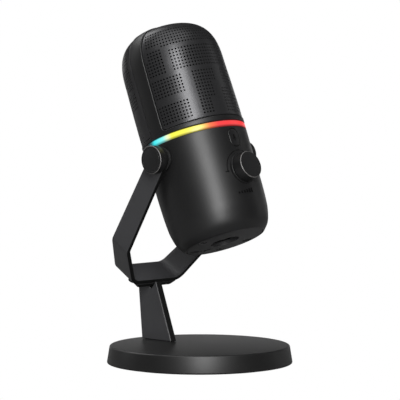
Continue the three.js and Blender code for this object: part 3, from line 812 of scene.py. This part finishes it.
def make_saddle():
    under = -YOKE_DEPTH - GAP - SADDLE
    end = SADDLE_HALF - SADDLE_TAPER
    outline = rounded([
        (1 - SADDLE_HALF, 0.5 - YOKE_DEPTH), (-end, under, 3), (end, under, 3),
        (SADDLE_HALF - 1, 0.5 - YOKE_DEPTH),
    ], closed=True)
    half = CROSS_WIDTH / 2
    plate = moved(prism(outline, -half, half), TO_FRONT)
    strip = moved(prism(rounded(strip_line(-GAP), steps=8), -20, 20), TO_FRONT)
    plate = carved(plate, strip)
    softened(plate, 0.3, 2, 50)
    # The saddle's front and rear faces take the darker paint: painted shade.
    edged(plate, lambda face: abs(face.normal.y) > 0.95)
    piece("yoke_saddle", plate, ON_YOKE, (YOKE_PAINT, PAINTED_SHADE_EDGES), "stand", ["saddle"])


# ---- Body shells ----------------------------------------------------------------------------------

def pill(width, length, steps=12):
    radius = width / 2
    straight = length / 2 - radius
    points = []
    for end in (1, -1):
        for i in range(steps + 1):
            angle = i / steps * math.pi + (math.pi if end < 0 else 0)
            points.append((radius * math.cos(angle), end * straight + radius * math.sin(angle)))
    return points


def facing_front(bm, height):
    """Turns a shape drawn about Z so that Z runs out of the front, at a height."""
    return moved(bm, Matrix.Translation((0, 0, height)) @ TO_FRONT)


def make_lower_shell():
    mouth = PLATE_RADIUS + GAP
    outline = [(mouth, BOTTOM), (mouth + 0.2, BOTTOM)]
    outline += [(r, z) for r, z in SIDE_CURVE if z < RING_HIGH + 4]
    sheet = spun(outline, 192)
    point, normal = ring_plane(RING_LOW - GAP / 2 - RIM, RING_RISE)
    trimmed(sheet, point, normal)
    outward(sheet)
    shelled(sheet, WALL, RIM, 3, lambda e: min(v.co.z for v in e.verts) > 0)
    seat = facing_front(spun(rounded([
        (0, BODY_RADIUS - 2.6), (KNOB_BASE_RADIUS + 0.5, BODY_RADIUS - 2.6),
        (KNOB_BASE_RADIUS + 0.5, KNOB_SEAT, 0.3), (0, KNOB_SEAT)]), 96), KNOB_HEIGHT)
    shell = carved(sheet, seat, operation="UNION")
    shaft = facing_front(spun([(0, 20), (SHAFT_RADIUS + 0.5, 20), (SHAFT_RADIUS + 0.5, 40), (0, 40)],
                              48), KNOB_HEIGHT)
    mute = facing_front(prism(pill(MUTE_WIDTH + 2 * GAP, MUTE_LENGTH + 2 * GAP), 20, 40), MUTE_HEIGHT)
    pivots = moved(spun([(0, -40), (INSERT_RADIUS + GAP, -40), (INSERT_RADIUS + GAP, 40), (0, 40)],
                        64), Matrix.Rotation(math.pi / 2, 4, "Y"))
    shell = carved(shell, shaft, mute, pivots)
    piece("lower_body", shell, ON_MIC, BODY_PLASTIC, "microphone", ["lower_shell"])


def band_edge(side):
    """How far the hoop reaches from the body's middle plane, towards the front (-1) or rear (1)."""
    return BAND_FRONT if side < 0 else BAND_REAR


def in_window(point, margin):
    """Whether a point of the skin lies in the front or rear window of the head frame."""
    side = abs(point.y) - (band_edge(point.y) - margin)
    up = point.z - (SEAM - margin)
    if side <= 0 or up <= 0:
        return False
    corner = WINDOW_CORNER + margin
    if side < corner and up < corner:
        return math.hypot(corner - side, corner - up) < corner
    return True


def window_cuts(bm, corner, margin, seam):
    """Adds edges along the windows' straight sides and rounded lower corners."""
    planes = []
    for side in (-1, 1):
        half = band_edge(side) - margin
        centre = Vector((0, side * (half + corner), seam + corner))
        for k in range(7):
            angle = k / 6 * math.pi / 2
            normal = Vector((0, -side * math.cos(angle), -math.sin(angle)))
            planes.append((centre + normal * corner, normal, side, half))
    for point, normal, side, half in planes:
        near = [f for f in bm.faces if f.calc_center_median().y * side > half - 3]
        if abs(normal.z) > 0.01 and abs(normal.y) > 0.01:
            near = [f for f in near if f.calc_center_median().z < seam + corner + 3
                    and abs(f.calc_center_median().y) < half + corner + 3]
        geom = list({v for f in near for v in f.verts}) + list({e for f in near for e in f.edges}) + near
        bmesh.ops.bisect_plane(bm, geom=geom, dist=1e-4, plane_co=point, plane_no=normal)


def make_head_frame():
    sheet = body_sheet(RING_HIGH - 3)
    point, normal = ring_plane(RING_HIGH + GAP / 2 + HOOP_RIM, RING_RISE)
    trimmed(sheet, point, -normal)
    window_cuts(sheet, WINDOW_CORNER + HOOP_RIM, HOOP_RIM, SEAM - HOOP_RIM)
    inside = [f for f in sheet.faces if in_window(f.calc_center_median(), HOOP_RIM)]
    bmesh.ops.delete(sheet, geom=inside, context="FACES")
    outward(sheet)
    shelled(sheet, WALL, HOOP_RIM, 4)
    piece("head_hoop", sheet, ON_MIC, BODY_PLASTIC, "microphone", ["head_frame"])


def is_hole(column, row):
    """The perforation's blocks, with plain bands between them. Column 5 is the left block's last."""
    c = column - 5
    if row <= 5:
        return True
    if row == 6:
        return c >= 1
    if row == 7:
        return c <= 0
    if row <= 14:
        return c <= 0 or c >= 3
    if row == 15:
        return False
    if row <= 21 and c <= 4:
        return True
    if row >= 24 and c <= 4:
        return True
    if c < 8:
        return False
    last = 15 if row <= 19 else 13 if row <= 24 else 11
    if c <= last:
        return True
    if row <= 20:
        return c >= 19
    return row >= 22 and c >= 17 and c <= 17 + (row - 21) * 2 + 1


def skin_point(angle, height, depth):
    """A point on the body, by its angle in degrees from +X towards the front, sunk by a depth."""
    radius = side_radius(height)
    step = 0.05
    above, below = side_radius(height + step), side_radius(height - step)
    slope = (above - below) / (2 * step)
    lean = math.atan(-slope)
    r = radius - depth * math.cos(lean)
    z = height - depth * math.sin(lean)
    return Vector((r * math.cos(angle * DEG), -r * math.sin(angle * DEG), z))


def row_height(row):
    return LAST_ROW_HEIGHT + (LAST_ROW - row) * ROW_STEP


def crown_height(row):
    """Above the perforation the rows close up towards the pole, evenly along the dome."""
    start = row_height(0.5)
    share = min(1.0, (0.5 - row) / 12)
    first = math.asin(((start - DOME_START) / DOME_LENGTH) ** (DOME_POWER / 2))
    angle = first + (math.pi / 2 - first) * share * 0.985
    return DOME_START + DOME_LENGTH * math.sin(angle) ** (2 / DOME_POWER)


def cell(bm, open_cell):
    """One square of the sheet, one unit wide, with or without its round hole."""
    ring = bmesh.ops.create_circle(bm, segments=HOLE_SIDES, radius=1, cap_ends=not open_cell)["verts"]
    for vert in ring:
        reach = 0.5 / max(abs(vert.co.x), abs(vert.co.y))
        vert.co = vert.co * reach
    if not open_cell:
        return
    edges = [e for e in bm.edges if e.is_wire]
    inner = bmesh.ops.create_circle(bm, segments=HOLE_SIDES, radius=HOLE_RADIUS / ROW_STEP)["verts"]
    inner_edges = list({e for v in inner for e in v.link_edges})
    bmesh.ops.bridge_loops(bm, edges=edges + inner_edges)


def fits(column, row):
    """Whether a hole there keeps a border of plain metal to the panel's sides."""
    if not (0 <= column < COLUMNS and 1 <= row <= LAST_ROW):
        return False
    middle = skin_point(FIRST_COLUMN - COLUMN_STEP * column, row_height(row), GRILLE_INSET)
    return -middle.y > BAND_FRONT + GAP + RIM + 2 * HOLE_RADIUS


def stamped_sheet(first_row, last_row):
    """The flat perforated sheet, one unit for each column and row, with plain margins."""
    templates = {}
    for open_cell in (True, False):
        bm = bmesh.new()
        cell(bm, open_cell)
        mesh = bpy.data.meshes.new("cell")
        bm.to_mesh(mesh)
        bm.free()
        templates[open_cell] = mesh
    sheet = bmesh.new()
    for row in range(first_row, last_row + 1):
        for column in range(-3, COLUMNS + 3):
            count = len(sheet.verts)
            sheet.from_mesh(templates[fits(column, row) and is_hole(column, row)])
            sheet.verts.ensure_lookup_table()
            bmesh.ops.translate(sheet, vec=(column, row, 0), verts=sheet.verts[count:])
    bmesh.ops.remove_doubles(sheet, verts=sheet.verts[:], dist=1e-3)
    for mesh in templates.values():
        bpy.data.meshes.remove(mesh)
    return sheet


def make_grille(name, node, side):
    sheet = stamped_sheet(-11, LAST_ROW + 2)
    for vert in sheet.verts:
        angle = FIRST_COLUMN - COLUMN_STEP * vert.co.x
        row = vert.co.y
        height = row_height(row) if row >= 0.5 else crown_height(row)
        vert.co = skin_point(angle, height, GRILLE_INSET)
    bmesh.ops.dissolve_degenerate(sheet, dist=1e-4, edges=sheet.edges[:])
    half = band_edge(side) + GAP + RIM
    seam = SEAM + GAP + RIM
    corner = WINDOW_CORNER - GAP - RIM
    trimmed(sheet, Vector((0, -half, 0)), Vector((0, 1, 0)))
    trimmed(sheet, Vector((0, 0, seam)), Vector((0, 0, -1)))
    centre = Vector((0, -half - corner, seam + corner))
    for k in range(1, 6):
        angle = k / 6 * math.pi / 2
        normal = Vector((0, math.cos(angle), -math.sin(angle)))
        trimmed(sheet, centre + normal * corner, normal)
    if side > 0:
        moved(sheet, Matrix.Rotation(math.pi, 4, "Z"))
    outward(sheet)
    shelled(sheet, GRILLE_WALL, RIM, 2, lambda e: is_outline(e, side, half, seam, corner))
    piece(name, sheet, ON_MIC, GRILLE_METAL, "microphone", [node])


def is_outline(edge, side, half, seam, corner):
    """Whether an open edge belongs to the panel's outline, and not to a hole."""
    middle = (edge.verts[0].co + edge.verts[1].co) / 2
    across = middle.y * side - half
    up = middle.z - seam
    if across < 0.02 or up < 0.02:
        return True
    if across < corner and up < corner:
        return math.hypot(corner - across, corner - up) > corner - 0.08
    return False


def make_light_ring():
    outer = BODY_RADIUS + 0.1
    blank = spun([(RING_INNER, 4), (outer, 4), (outer, 16), (RING_INNER, 16)], 192, closed=True)
    for height, rise, way in ((RING_LOW + GAP / 2, RING_RISE, -1),
                              (RING_HIGH - GAP / 2, RING_RISE, 1)):
        point, normal = ring_plane(height, rise)
        trimmed(blank, point, normal * way)
        rims = [e for e in blank.edges if e.is_boundary]
        bmesh.ops.bridge_loops(blank, edges=rims)
    bmesh.ops.recalc_face_normals(blank, faces=blank.faces[:])
    softened(blank, 0.12, 2, 60)
    piece("glow_ring", blank, ON_MIC, LIGHT_PIPE, "microphone", ["light_ring"])


# ---- Underside ------------------------------------------------------------------------------------

def drill(radius, place, low=BOTTOM - 1, high=BOTTOM + PLATE + 1, steps=48):
    tool = spun([(0, low), (radius, low), (radius, high), (0, high)], steps)
    return moved(tool, Matrix.Translation((*place, 0)))


def usb_prism(spread, low, high):
    outline = [(y, x) for x, y in pill(3.3 + spread, 9.1 + spread)]
    return moved(prism(outline, low, high), Matrix.Translation((*USB_PLACE, 0)))


def make_underside():
    low, high = BOTTOM - 1, BOTTOM + PLATE + 1
    disc = spun(rounded([
        (0, BOTTOM), (PLATE_RADIUS, BOTTOM, 0.25), (PLATE_RADIUS, BOTTOM + PLATE), (0, BOTTOM + PLATE),
    ]), 160)
    screws = [(LEG_X * side, 0) for side in (-1, 1)]
    tools = [drill(SOCKET_HOLE, (0, 0), steps=96), usb_prism(2 * GAP, low, high),
             drill(BUTTON_RADIUS + GAP, BUTTON_PLACE), drill(JACK_RADIUS + GAP, JACK_PLACE)]
    tools += [drill(1.5, place) for place in screws]
    tools += [drill(2.7, place, high=BOTTOM + 1.2) for place in screws]
    plate = carved(disc, *tools)
    softened(plate, 0.15, 2, 50)
    # The cover's lighter plastic is painted light from below.
    piece("bottom_cover", plate, ON_MIC, PLASTIC_PAINTED_LIGHT_BELOW, "microphone", ["bottom_plate"])

    mouth = BOTTOM + PLATE + GAP
    turns = 10
    pitch = 0.94
    profile = [(THREAD_RADIUS + 0.35, mouth)]
    for k in range(turns):
        profile.append((THREAD_RADIUS + 0.5, mouth + 0.5 + k * pitch))
        profile.append((THREAD_RADIUS, mouth + 0.5 + (k + 0.5) * pitch))
    profile += [(THREAD_RADIUS + 0.4, mouth + 11), (9.8, mouth + 11), (9.8, mouth + 2),
                (11.3, mouth + 2), (11.3, mouth)]
    piece("stand_socket", spun(profile, 96, closed=True), ON_MIC, SOCKET_STEEL, "microphone",
          ["thread_socket"])

    shell = carved(usb_prism(0, BOTTOM + 0.8, BOTTOM + 8.2), usb_prism(-0.8, BOTTOM - 1, BOTTOM + 7))
    softened(shell, 0.1, 2, 50)
    piece("usb_shell", shell, ON_MIC, DARK_STEEL, "microphone", ["usb_socket"])
    tongue = block((USB_PLACE[0] - 3.1, USB_PLACE[1] - 0.35, BOTTOM + 1.0),
                   (USB_PLACE[0] + 3.1, USB_PLACE[1] + 0.35, BOTTOM + 7.2))
    softened(tongue, 0.12, 2, 50)
    piece("usb_tongue", tongue, ON_MIC, CONTROL_PLASTIC, "microphone")

    barrel = spun(rounded([
        (JACK_BORE, BOTTOM + 0.1, 0.25), (JACK_RADIUS, BOTTOM + 0.1, 0.3),
        (JACK_RADIUS, BOTTOM + PLATE + GAP), (JACK_RADIUS + 0.9, BOTTOM + PLATE + GAP),
        (JACK_RADIUS + 0.9, BOTTOM + 8), (JACK_BORE, BOTTOM + 8)], closed=True), 64, closed=True)
    moved(barrel, Matrix.Translation((*JACK_PLACE, 0)))
    piece("jack_barrel", barrel, ON_MIC, CONTROL_PLASTIC, "microphone", ["headphone_jack"])

    button = spun(rounded([
        (0, BOTTOM - 0.4), (BUTTON_RADIUS, BOTTOM - 0.4, 0.5), (BUTTON_RADIUS, BOTTOM + PLATE + GAP),
        (3, BOTTOM + PLATE + GAP + 0.2), (3, BOTTOM + 4.2), (0, BOTTOM + 4.2)]), 64)
    moved(button, Matrix.Translation((*BUTTON_PLACE, 0)))
    piece("light_push", button, ON_MIC, CONTROL_PLASTIC, "light_key", ["light_button"])


def screw(name, node, body, place, head, shank, socket=True, flip=False):
    """A screw drawn with its head at Z = 0 and its shank going up. head and shank are (radius, length)."""
    (head_radius, head_length), (shank_radius, shank_length) = head, shank
    shape = spun(rounded([
        (0, 0), (head_radius, 0, 0.15), (head_radius, head_length), (shank_radius, head_length),
        (shank_radius, head_length + shank_length - 0.5), (shank_radius - 0.4, head_length + shank_length),
        (0, head_length + shank_length)]), 48)
    if socket:
        reach = head_radius * 0.55
        bars = [moved(block((-reach, -0.28, -1), (reach, 0.28, head_length * 0.7)),
                      Matrix.Rotation(turn, 4, "Z")) for turn in (0, math.pi / 2)]
        shape = carved(shape, *bars)
    piece(name, shape, place, DARK_STEEL, body, [node])


def make_screws():
    for i, side in enumerate((-1, 1)):
        at = ON_MIC @ Matrix.Translation((LEG_X * side, 0, BOTTOM + 0.3))
        screw(f"cover_screw_{i + 1}", f"bottom_screw_{i + 1}", "microphone", at, (2.4, 0.6), (1.2, 10))
        at = ON_YOKE @ Matrix.Translation((10.5 * side, 0, -YOKE_DEPTH - SADDLE - 2 * GAP - 1.2))
        screw(f"yoke_screw_{i + 1}", f"saddle_screw_{i + 1}", "stand", at, (2.4, 1.1), (1.2, 4.5))


# ---- Controls -------------------------------------------------------------------------------------

def is_bevel(face, level):
    """Whether a face belongs to the bevel round a knob's flat face at that level."""
    return face.calc_center_median().z > level - KNOB_BEVEL and 0.2 < face.normal.z < 0.97


def make_volume_knob():
    face = KNOB_FACE
    knob = spun(rounded([
        (0, KNOB_SEAT + GAP + 1.0), (SHAFT_RADIUS + GAP, KNOB_SEAT + GAP + 1.0),
        (SHAFT_RADIUS + GAP, KNOB_SEAT + GAP), (KNOB_BASE_RADIUS, KNOB_SEAT + GAP, 0.3),
        (KNOB_FACE_RADIUS, face - KNOB_BEVEL, 0.06), (KNOB_FACE_RADIUS - KNOB_BEVEL, face, 0.06),
        (0, face),
    ]), 160)
    # The knob's bevel takes the light rim: a painted highlight.
    edged(knob, lambda f: is_bevel(f, face))
    piece("volume_dial", facing_front(knob, KNOB_HEIGHT), ON_MIC, (CONTROL_PLASTIC, PAINTED_HIGHLIGHT_RIM),
          "volume_control", ["volume_knob"])


def on_front(bm, height, radius):
    """Wraps a shape drawn in X-Y, with Z outwards, onto the front of the body."""
    for vert in bm.verts:
        x, y, z = vert.co
        r = radius + z
        angle = x / radius
        vert.co = Vector((r * math.sin(angle), -r * math.cos(angle), height + y))
    return bm


def inset_plate(points, depth, edge, rings, pitch):
    """A plate with a rounded upper edge, and rings of faces inside it so that it can be wrapped."""
    bm = bmesh.new()
    face = bm.faces.new([bm.verts.new((x, y, 0)) for x, y in points])
    face.normal_update()
    if face.normal.z < 0:
        face.normal_flip()
    base = bmesh.ops.extrude_face_region(bm, geom=[face])["geom"]
    top = [g for g in base if isinstance(g, bmesh.types.BMFace)]
    verts = [g for g in base if isinstance(g, bmesh.types.BMVert)]
    bmesh.ops.translate(bm, vec=(0, 0, depth - edge), verts=verts)
    bm.normal_update()
    for k in range(3):
        low, high = k / 3 * math.pi / 2, (k + 1) / 3 * math.pi / 2
        bmesh.ops.inset_region(bm, faces=top, thickness=edge * (math.cos(low) - math.cos(high)),
                               depth=edge * (math.sin(high) - math.sin(low)), use_even_offset=True)
    for _ in range(rings):
        bmesh.ops.inset_region(bm, faces=top, thickness=pitch, use_even_offset=True)
    bmesh.ops.recalc_face_normals(bm, faces=bm.faces[:])
    return bm


def make_mute_button():
    depth = BODY_RADIUS + 0.1 - MUTE_BACK
    button = inset_plate(pill(MUTE_WIDTH, MUTE_LENGTH, 16), depth, 0.35, 4, 0.7)
    for vert in button.verts:
        x, y, z = vert.co
        if z > depth / 2:
            sag = BODY_RADIUS - math.sqrt(BODY_RADIUS ** 2 - x * x)
            vert.co = Vector((x, -(MUTE_BACK + z - sag), MUTE_HEIGHT + y))
        else:
            vert.co = Vector((x, -(MUTE_BACK + z), MUTE_HEIGHT + y))
    bmesh.ops.recalc_face_normals(button, faces=button.faces[:])
    piece("mute_key_cap", button, ON_MIC, CONTROL_PLASTIC, "mute_key", ["mute_button"])

    capsule = inset_plate(pill(1.3, 2.6, 8), 0.12, 0.05, 0, 0)
    moved(capsule, Matrix.Translation((0, 0.5, 0)))
    stem = inset_plate([(-0.14, -2.3), (0.14, -2.3), (0.14, -1.6), (-0.14, -1.6)], 0.12, 0.03, 0, 0)
    cradle = []
    for radius, order in ((1.35, 1), (1.07, -1)):
        arc = [(radius * math.cos(a * DEG), 0.1 + radius * math.sin(a * DEG) - 0.25)
               for a in range(180, 361, 15)]
        cradle += arc[::order]
    cup = inset_plate(cradle, 0.12, 0.03, 0, 0)
    mark = joined(capsule, stem, cup)
    on_front(mark, MUTE_HEIGHT, BODY_RADIUS + 0.06)
    piece("mute_mark", mark, ON_MIC, PRINT, "mute_key")


def make_dial_marks():
    """Printed marks round the volume knob: an arc with a tick at one end, and a rising row of bars below."""
    radius = 11.2
    arc = []
    for r, order in ((radius + 0.25, 1), (radius - 0.25, -1)):
        arc += [(r * math.cos(a * DEG), r * math.sin(a * DEG)) for a in range(48, 187, 6)][::order]
    tick = [(-12.9, -0.9), (-10.5, -0.9), (-10.5, -0.4), (-12.9, -0.4)]
    parts = [inset_plate(arc, 0.1, 0.04, 0, 0), inset_plate(tick, 0.1, 0.04, 0, 0)]
    for k in range(6):
        left = -8.6 + k * 1.9
        top = -13.6 + 0.32 * k
        bar = [(left, -14.6), (left + 1.0, -14.6), (left + 1.0, top), (left, top)]
        parts.append(inset_plate(bar, 0.1, 0.04, 0, 0))
    marks = joined(*parts)
    on_front(marks, KNOB_HEIGHT, BODY_RADIUS - 0.12)
    piece("dial_marks", marks, ON_MIC, PRINT, "microphone")


# ---- Pivot hardware -------------------------------------------------------------------------------

def make_clamps():
    for label, side in (("left", -1), ("right", 1)):
        turn = ON_MIC @ Matrix.Rotation(side * math.pi / 2, 4, "Y")
        body = f"clamp_{label}"
        inner = YOKE_OUTER + 0.2
        knob = spun(rounded([
            (STUD_RADIUS + GAP, inner), (7.2, inner, 0.2), (7.5, inner + 0.6, 0.2),
            (CLAMP_RADIUS, inner + 0.9, 0.3), (CLAMP_RADIUS, CLAMP_FACE - KNOB_BEVEL, 0.06),
            (CLAMP_RADIUS - KNOB_BEVEL, CLAMP_FACE, 0.06), (6.6, CLAMP_FACE, 0.08),
            (6.6, 38.2), (STUD_RADIUS + GAP, 38.2)], closed=True), 128, closed=True)
        # The knob's bevel takes the light rim: a painted highlight.
        edged(knob, lambda f: is_bevel(f, CLAMP_FACE) and f.calc_center_median().xy.length > 7)
        piece(f"thumb_knob_{label}", knob, turn, (CONTROL_PLASTIC, PAINTED_HIGHLIGHT_RIM), body, [f"clamp_knob_{label}"])
        cap = spun(rounded([
            (0, 38.5), (6.54, 38.5), (6.54, CLAMP_FACE, 0.08), (0, CLAMP_FACE)]), 128)
        piece(f"thumb_cap_{label}", cap, turn, CONTROL_PLASTIC, body, [f"clamp_cap_{label}"])
        collar = spun(rounded([
            (STUD_RADIUS + 0.25, 26.4), (INSERT_RADIUS, 26.4), (INSERT_RADIUS, 31.1, 0.4),
            (STUD_RADIUS + 0.25, 31.1)], closed=True), 96, closed=True)
        piece(f"pivot_boss_{label}", collar, turn, CONTROL_PLASTIC, "microphone",
              [f"pivot_insert_{label}"])
        washer = spun(rounded([
            (STUD_RADIUS + 0.3, 31.3), (7.2, 31.3, 0.15), (7.2, 31.8, 0.15), (STUD_RADIUS + 0.3, 31.8)],
            closed=True), 96, closed=True)
        piece(f"pivot_washer_{label}", washer, turn, RUBBER, "microphone", [f"washer_{label}"])


# ---- Finishes of the frame's own pieces -----------------------------------------------------------

BY_SLOT = {
    "body_plastic": BODY_PLASTIC, "control_plastic": CONTROL_PLASTIC, "grille_metal": GRILLE_METAL,
    "yoke_paint": YOKE_PAINT, "base_paint": BASE_PAINT, "rubber": RUBBER, "steel": STEEL,
    "brass": BRASS, "light_pipe": LIGHT_PIPE, "circuit": CIRCUIT, "foam": FOAM,
}


def finish_frame_nodes():
    for part in frame["record"]["subparts"]:
        obj = frame["nodes"][part["node"]]
        material = BY_SLOT[part["material_slot"]]
        if obj.data.materials:
            obj.data.materials[0] = material
        else:
            obj.data.materials.append(material)


# ---- Camera, light and stage ----------------------------------------------------------------------

CAMERA_AZIMUTH = -45.495 * DEG
CAMERA_ELEVATION = 3.803 * DEG
CAMERA_DISTANCE = 1.5
CAMERA_HEIGHT = 0.09587
CAMERA_ASIDE = 0.000165
CAMERA_LENS = 231.5


def direction(azimuth, elevation):
    """The unit vector towards a place, from angles in degrees as the camera's are counted."""
    a, e = azimuth * DEG, elevation * DEG
    return Vector((math.sin(a) * math.cos(e), -math.cos(a) * math.cos(e), math.sin(e)))


def make_camera():
    away = direction(CAMERA_AZIMUTH / DEG, CAMERA_ELEVATION / DEG)
    right = Vector((math.cos(CAMERA_AZIMUTH), math.sin(CAMERA_AZIMUTH), 0))
    aim = Vector((0, 0, CAMERA_HEIGHT)) + right * CAMERA_ASIDE
    data = bpy.data.cameras.new("camera")
    data.lens = CAMERA_LENS
    data.sensor_width = 36
    camera = bpy.data.objects.new("camera", data)
    camera.location = aim + away * CAMERA_DISTANCE
    camera.rotation_euler = away.to_track_quat("Z", "Y").to_euler()
    bpy.context.scene.collection.objects.link(camera)
    bpy.context.scene.camera = camera


def soft_box(name, azimuth, elevation, distance, width, height, power, aim=(0, 0, 0.1)):
    data = bpy.data.lights.new(name, "AREA")
    data.shape = "RECTANGLE"
    data.size = width
    data.size_y = height
    data.energy = power
    lamp = bpy.data.objects.new(name, data)
    way = direction(azimuth, elevation)
    lamp.location = Vector(aim) + way * distance
    lamp.rotation_euler = way.to_track_quat("Z", "Y").to_euler()
    bpy.context.scene.collection.objects.link(lamp)


def make_lights():
    soft_box("key_strip", -40, 24, 1.6, 0.5, 1.4, 31)
    soft_box("overhead", -65, 74, 1.2, 1.2, 1.2, 7)
    soft_box("left_fill", -150, 22, 1.6, 0.4, 1.2, 2.0)
    soft_box("right_edge", 70, 15, 1.6, 0.4, 1.2, 1.0)
    soft_box("back_light", 180, 44, 1.5, 0.9, 0.6, 5)
    soft_box("horizon", 134.5, 4, 1.4, 2.4, 0.3, 1.6)


def shown_and_lit(tree, seen, lit, strength):
    """A background that looks one way to the camera and lights the object another way."""
    path = tree.nodes.new("ShaderNodeLightPath")
    mix = tree.nodes.new("ShaderNodeMixShader")
    bright = tree.nodes.new("ShaderNodeEmission" if strength is None else "ShaderNodeBackground")
    bright.inputs["Color"].default_value = (*seen, 1)
    tree.links.new(path.outputs["Is Camera Ray"], mix.inputs["Fac"])
    tree.links.new(lit.outputs[0], mix.inputs[1])
    tree.links.new(bright.outputs[0], mix.inputs[2])
    return mix


def make_stage():
    world = bpy.data.worlds.new("studio")
    world.use_nodes = True
    bpy.context.scene.world = world
    tree = world.node_tree
    dim = tree.nodes["Background"]
    dim.inputs["Color"].default_value = (0.03, 0.03, 0.031, 1)
    mix = shown_and_lit(tree, (1, 1, 1), dim, 1)
    tree.links.new(mix.outputs[0], tree.nodes["World Output"].inputs["Surface"])

    floor_material, tree, shader = new_material("pale_floor")
    shader.inputs["Base Color"].default_value = (0.25, 0.25, 0.25, 1)
    shader.inputs["Roughness"].default_value = 0.8
    mix = shown_and_lit(tree, (1, 1, 1), shader, None)
    tree.links.new(mix.outputs[0], tree.nodes["Material Output"].inputs["Surface"])
    bm = bmesh.new()
    bmesh.ops.create_grid(bm, x_segments=2, y_segments=2, size=20)
    mesh = bpy.data.meshes.new("floor")
    bm.to_mesh(mesh)
    bm.free()
    mesh.materials.append(floor_material)
    floor = bpy.data.objects.new("floor", mesh)
    bpy.context.scene.collection.objects.link(floor)
    floor.location.z = -0.0002

    view = bpy.context.scene.view_settings
    view.view_transform = "Standard"
    view.look = "None"


make_camera()
make_stage()
make_lights()
finish_frame_nodes()
make_base()
make_post()
make_yoke()
make_saddle()
make_lower_shell()
make_head_frame()
make_grille("front_mesh", "front_grille", -1)
make_grille("rear_mesh", "rear_grille", 1)
make_light_ring()
make_underside()
make_screws()
make_volume_knob()
make_mute_button()
make_dial_marks()
make_clamps()


def corners(box):
    return [[float(value) for value in corner] for corner in box]
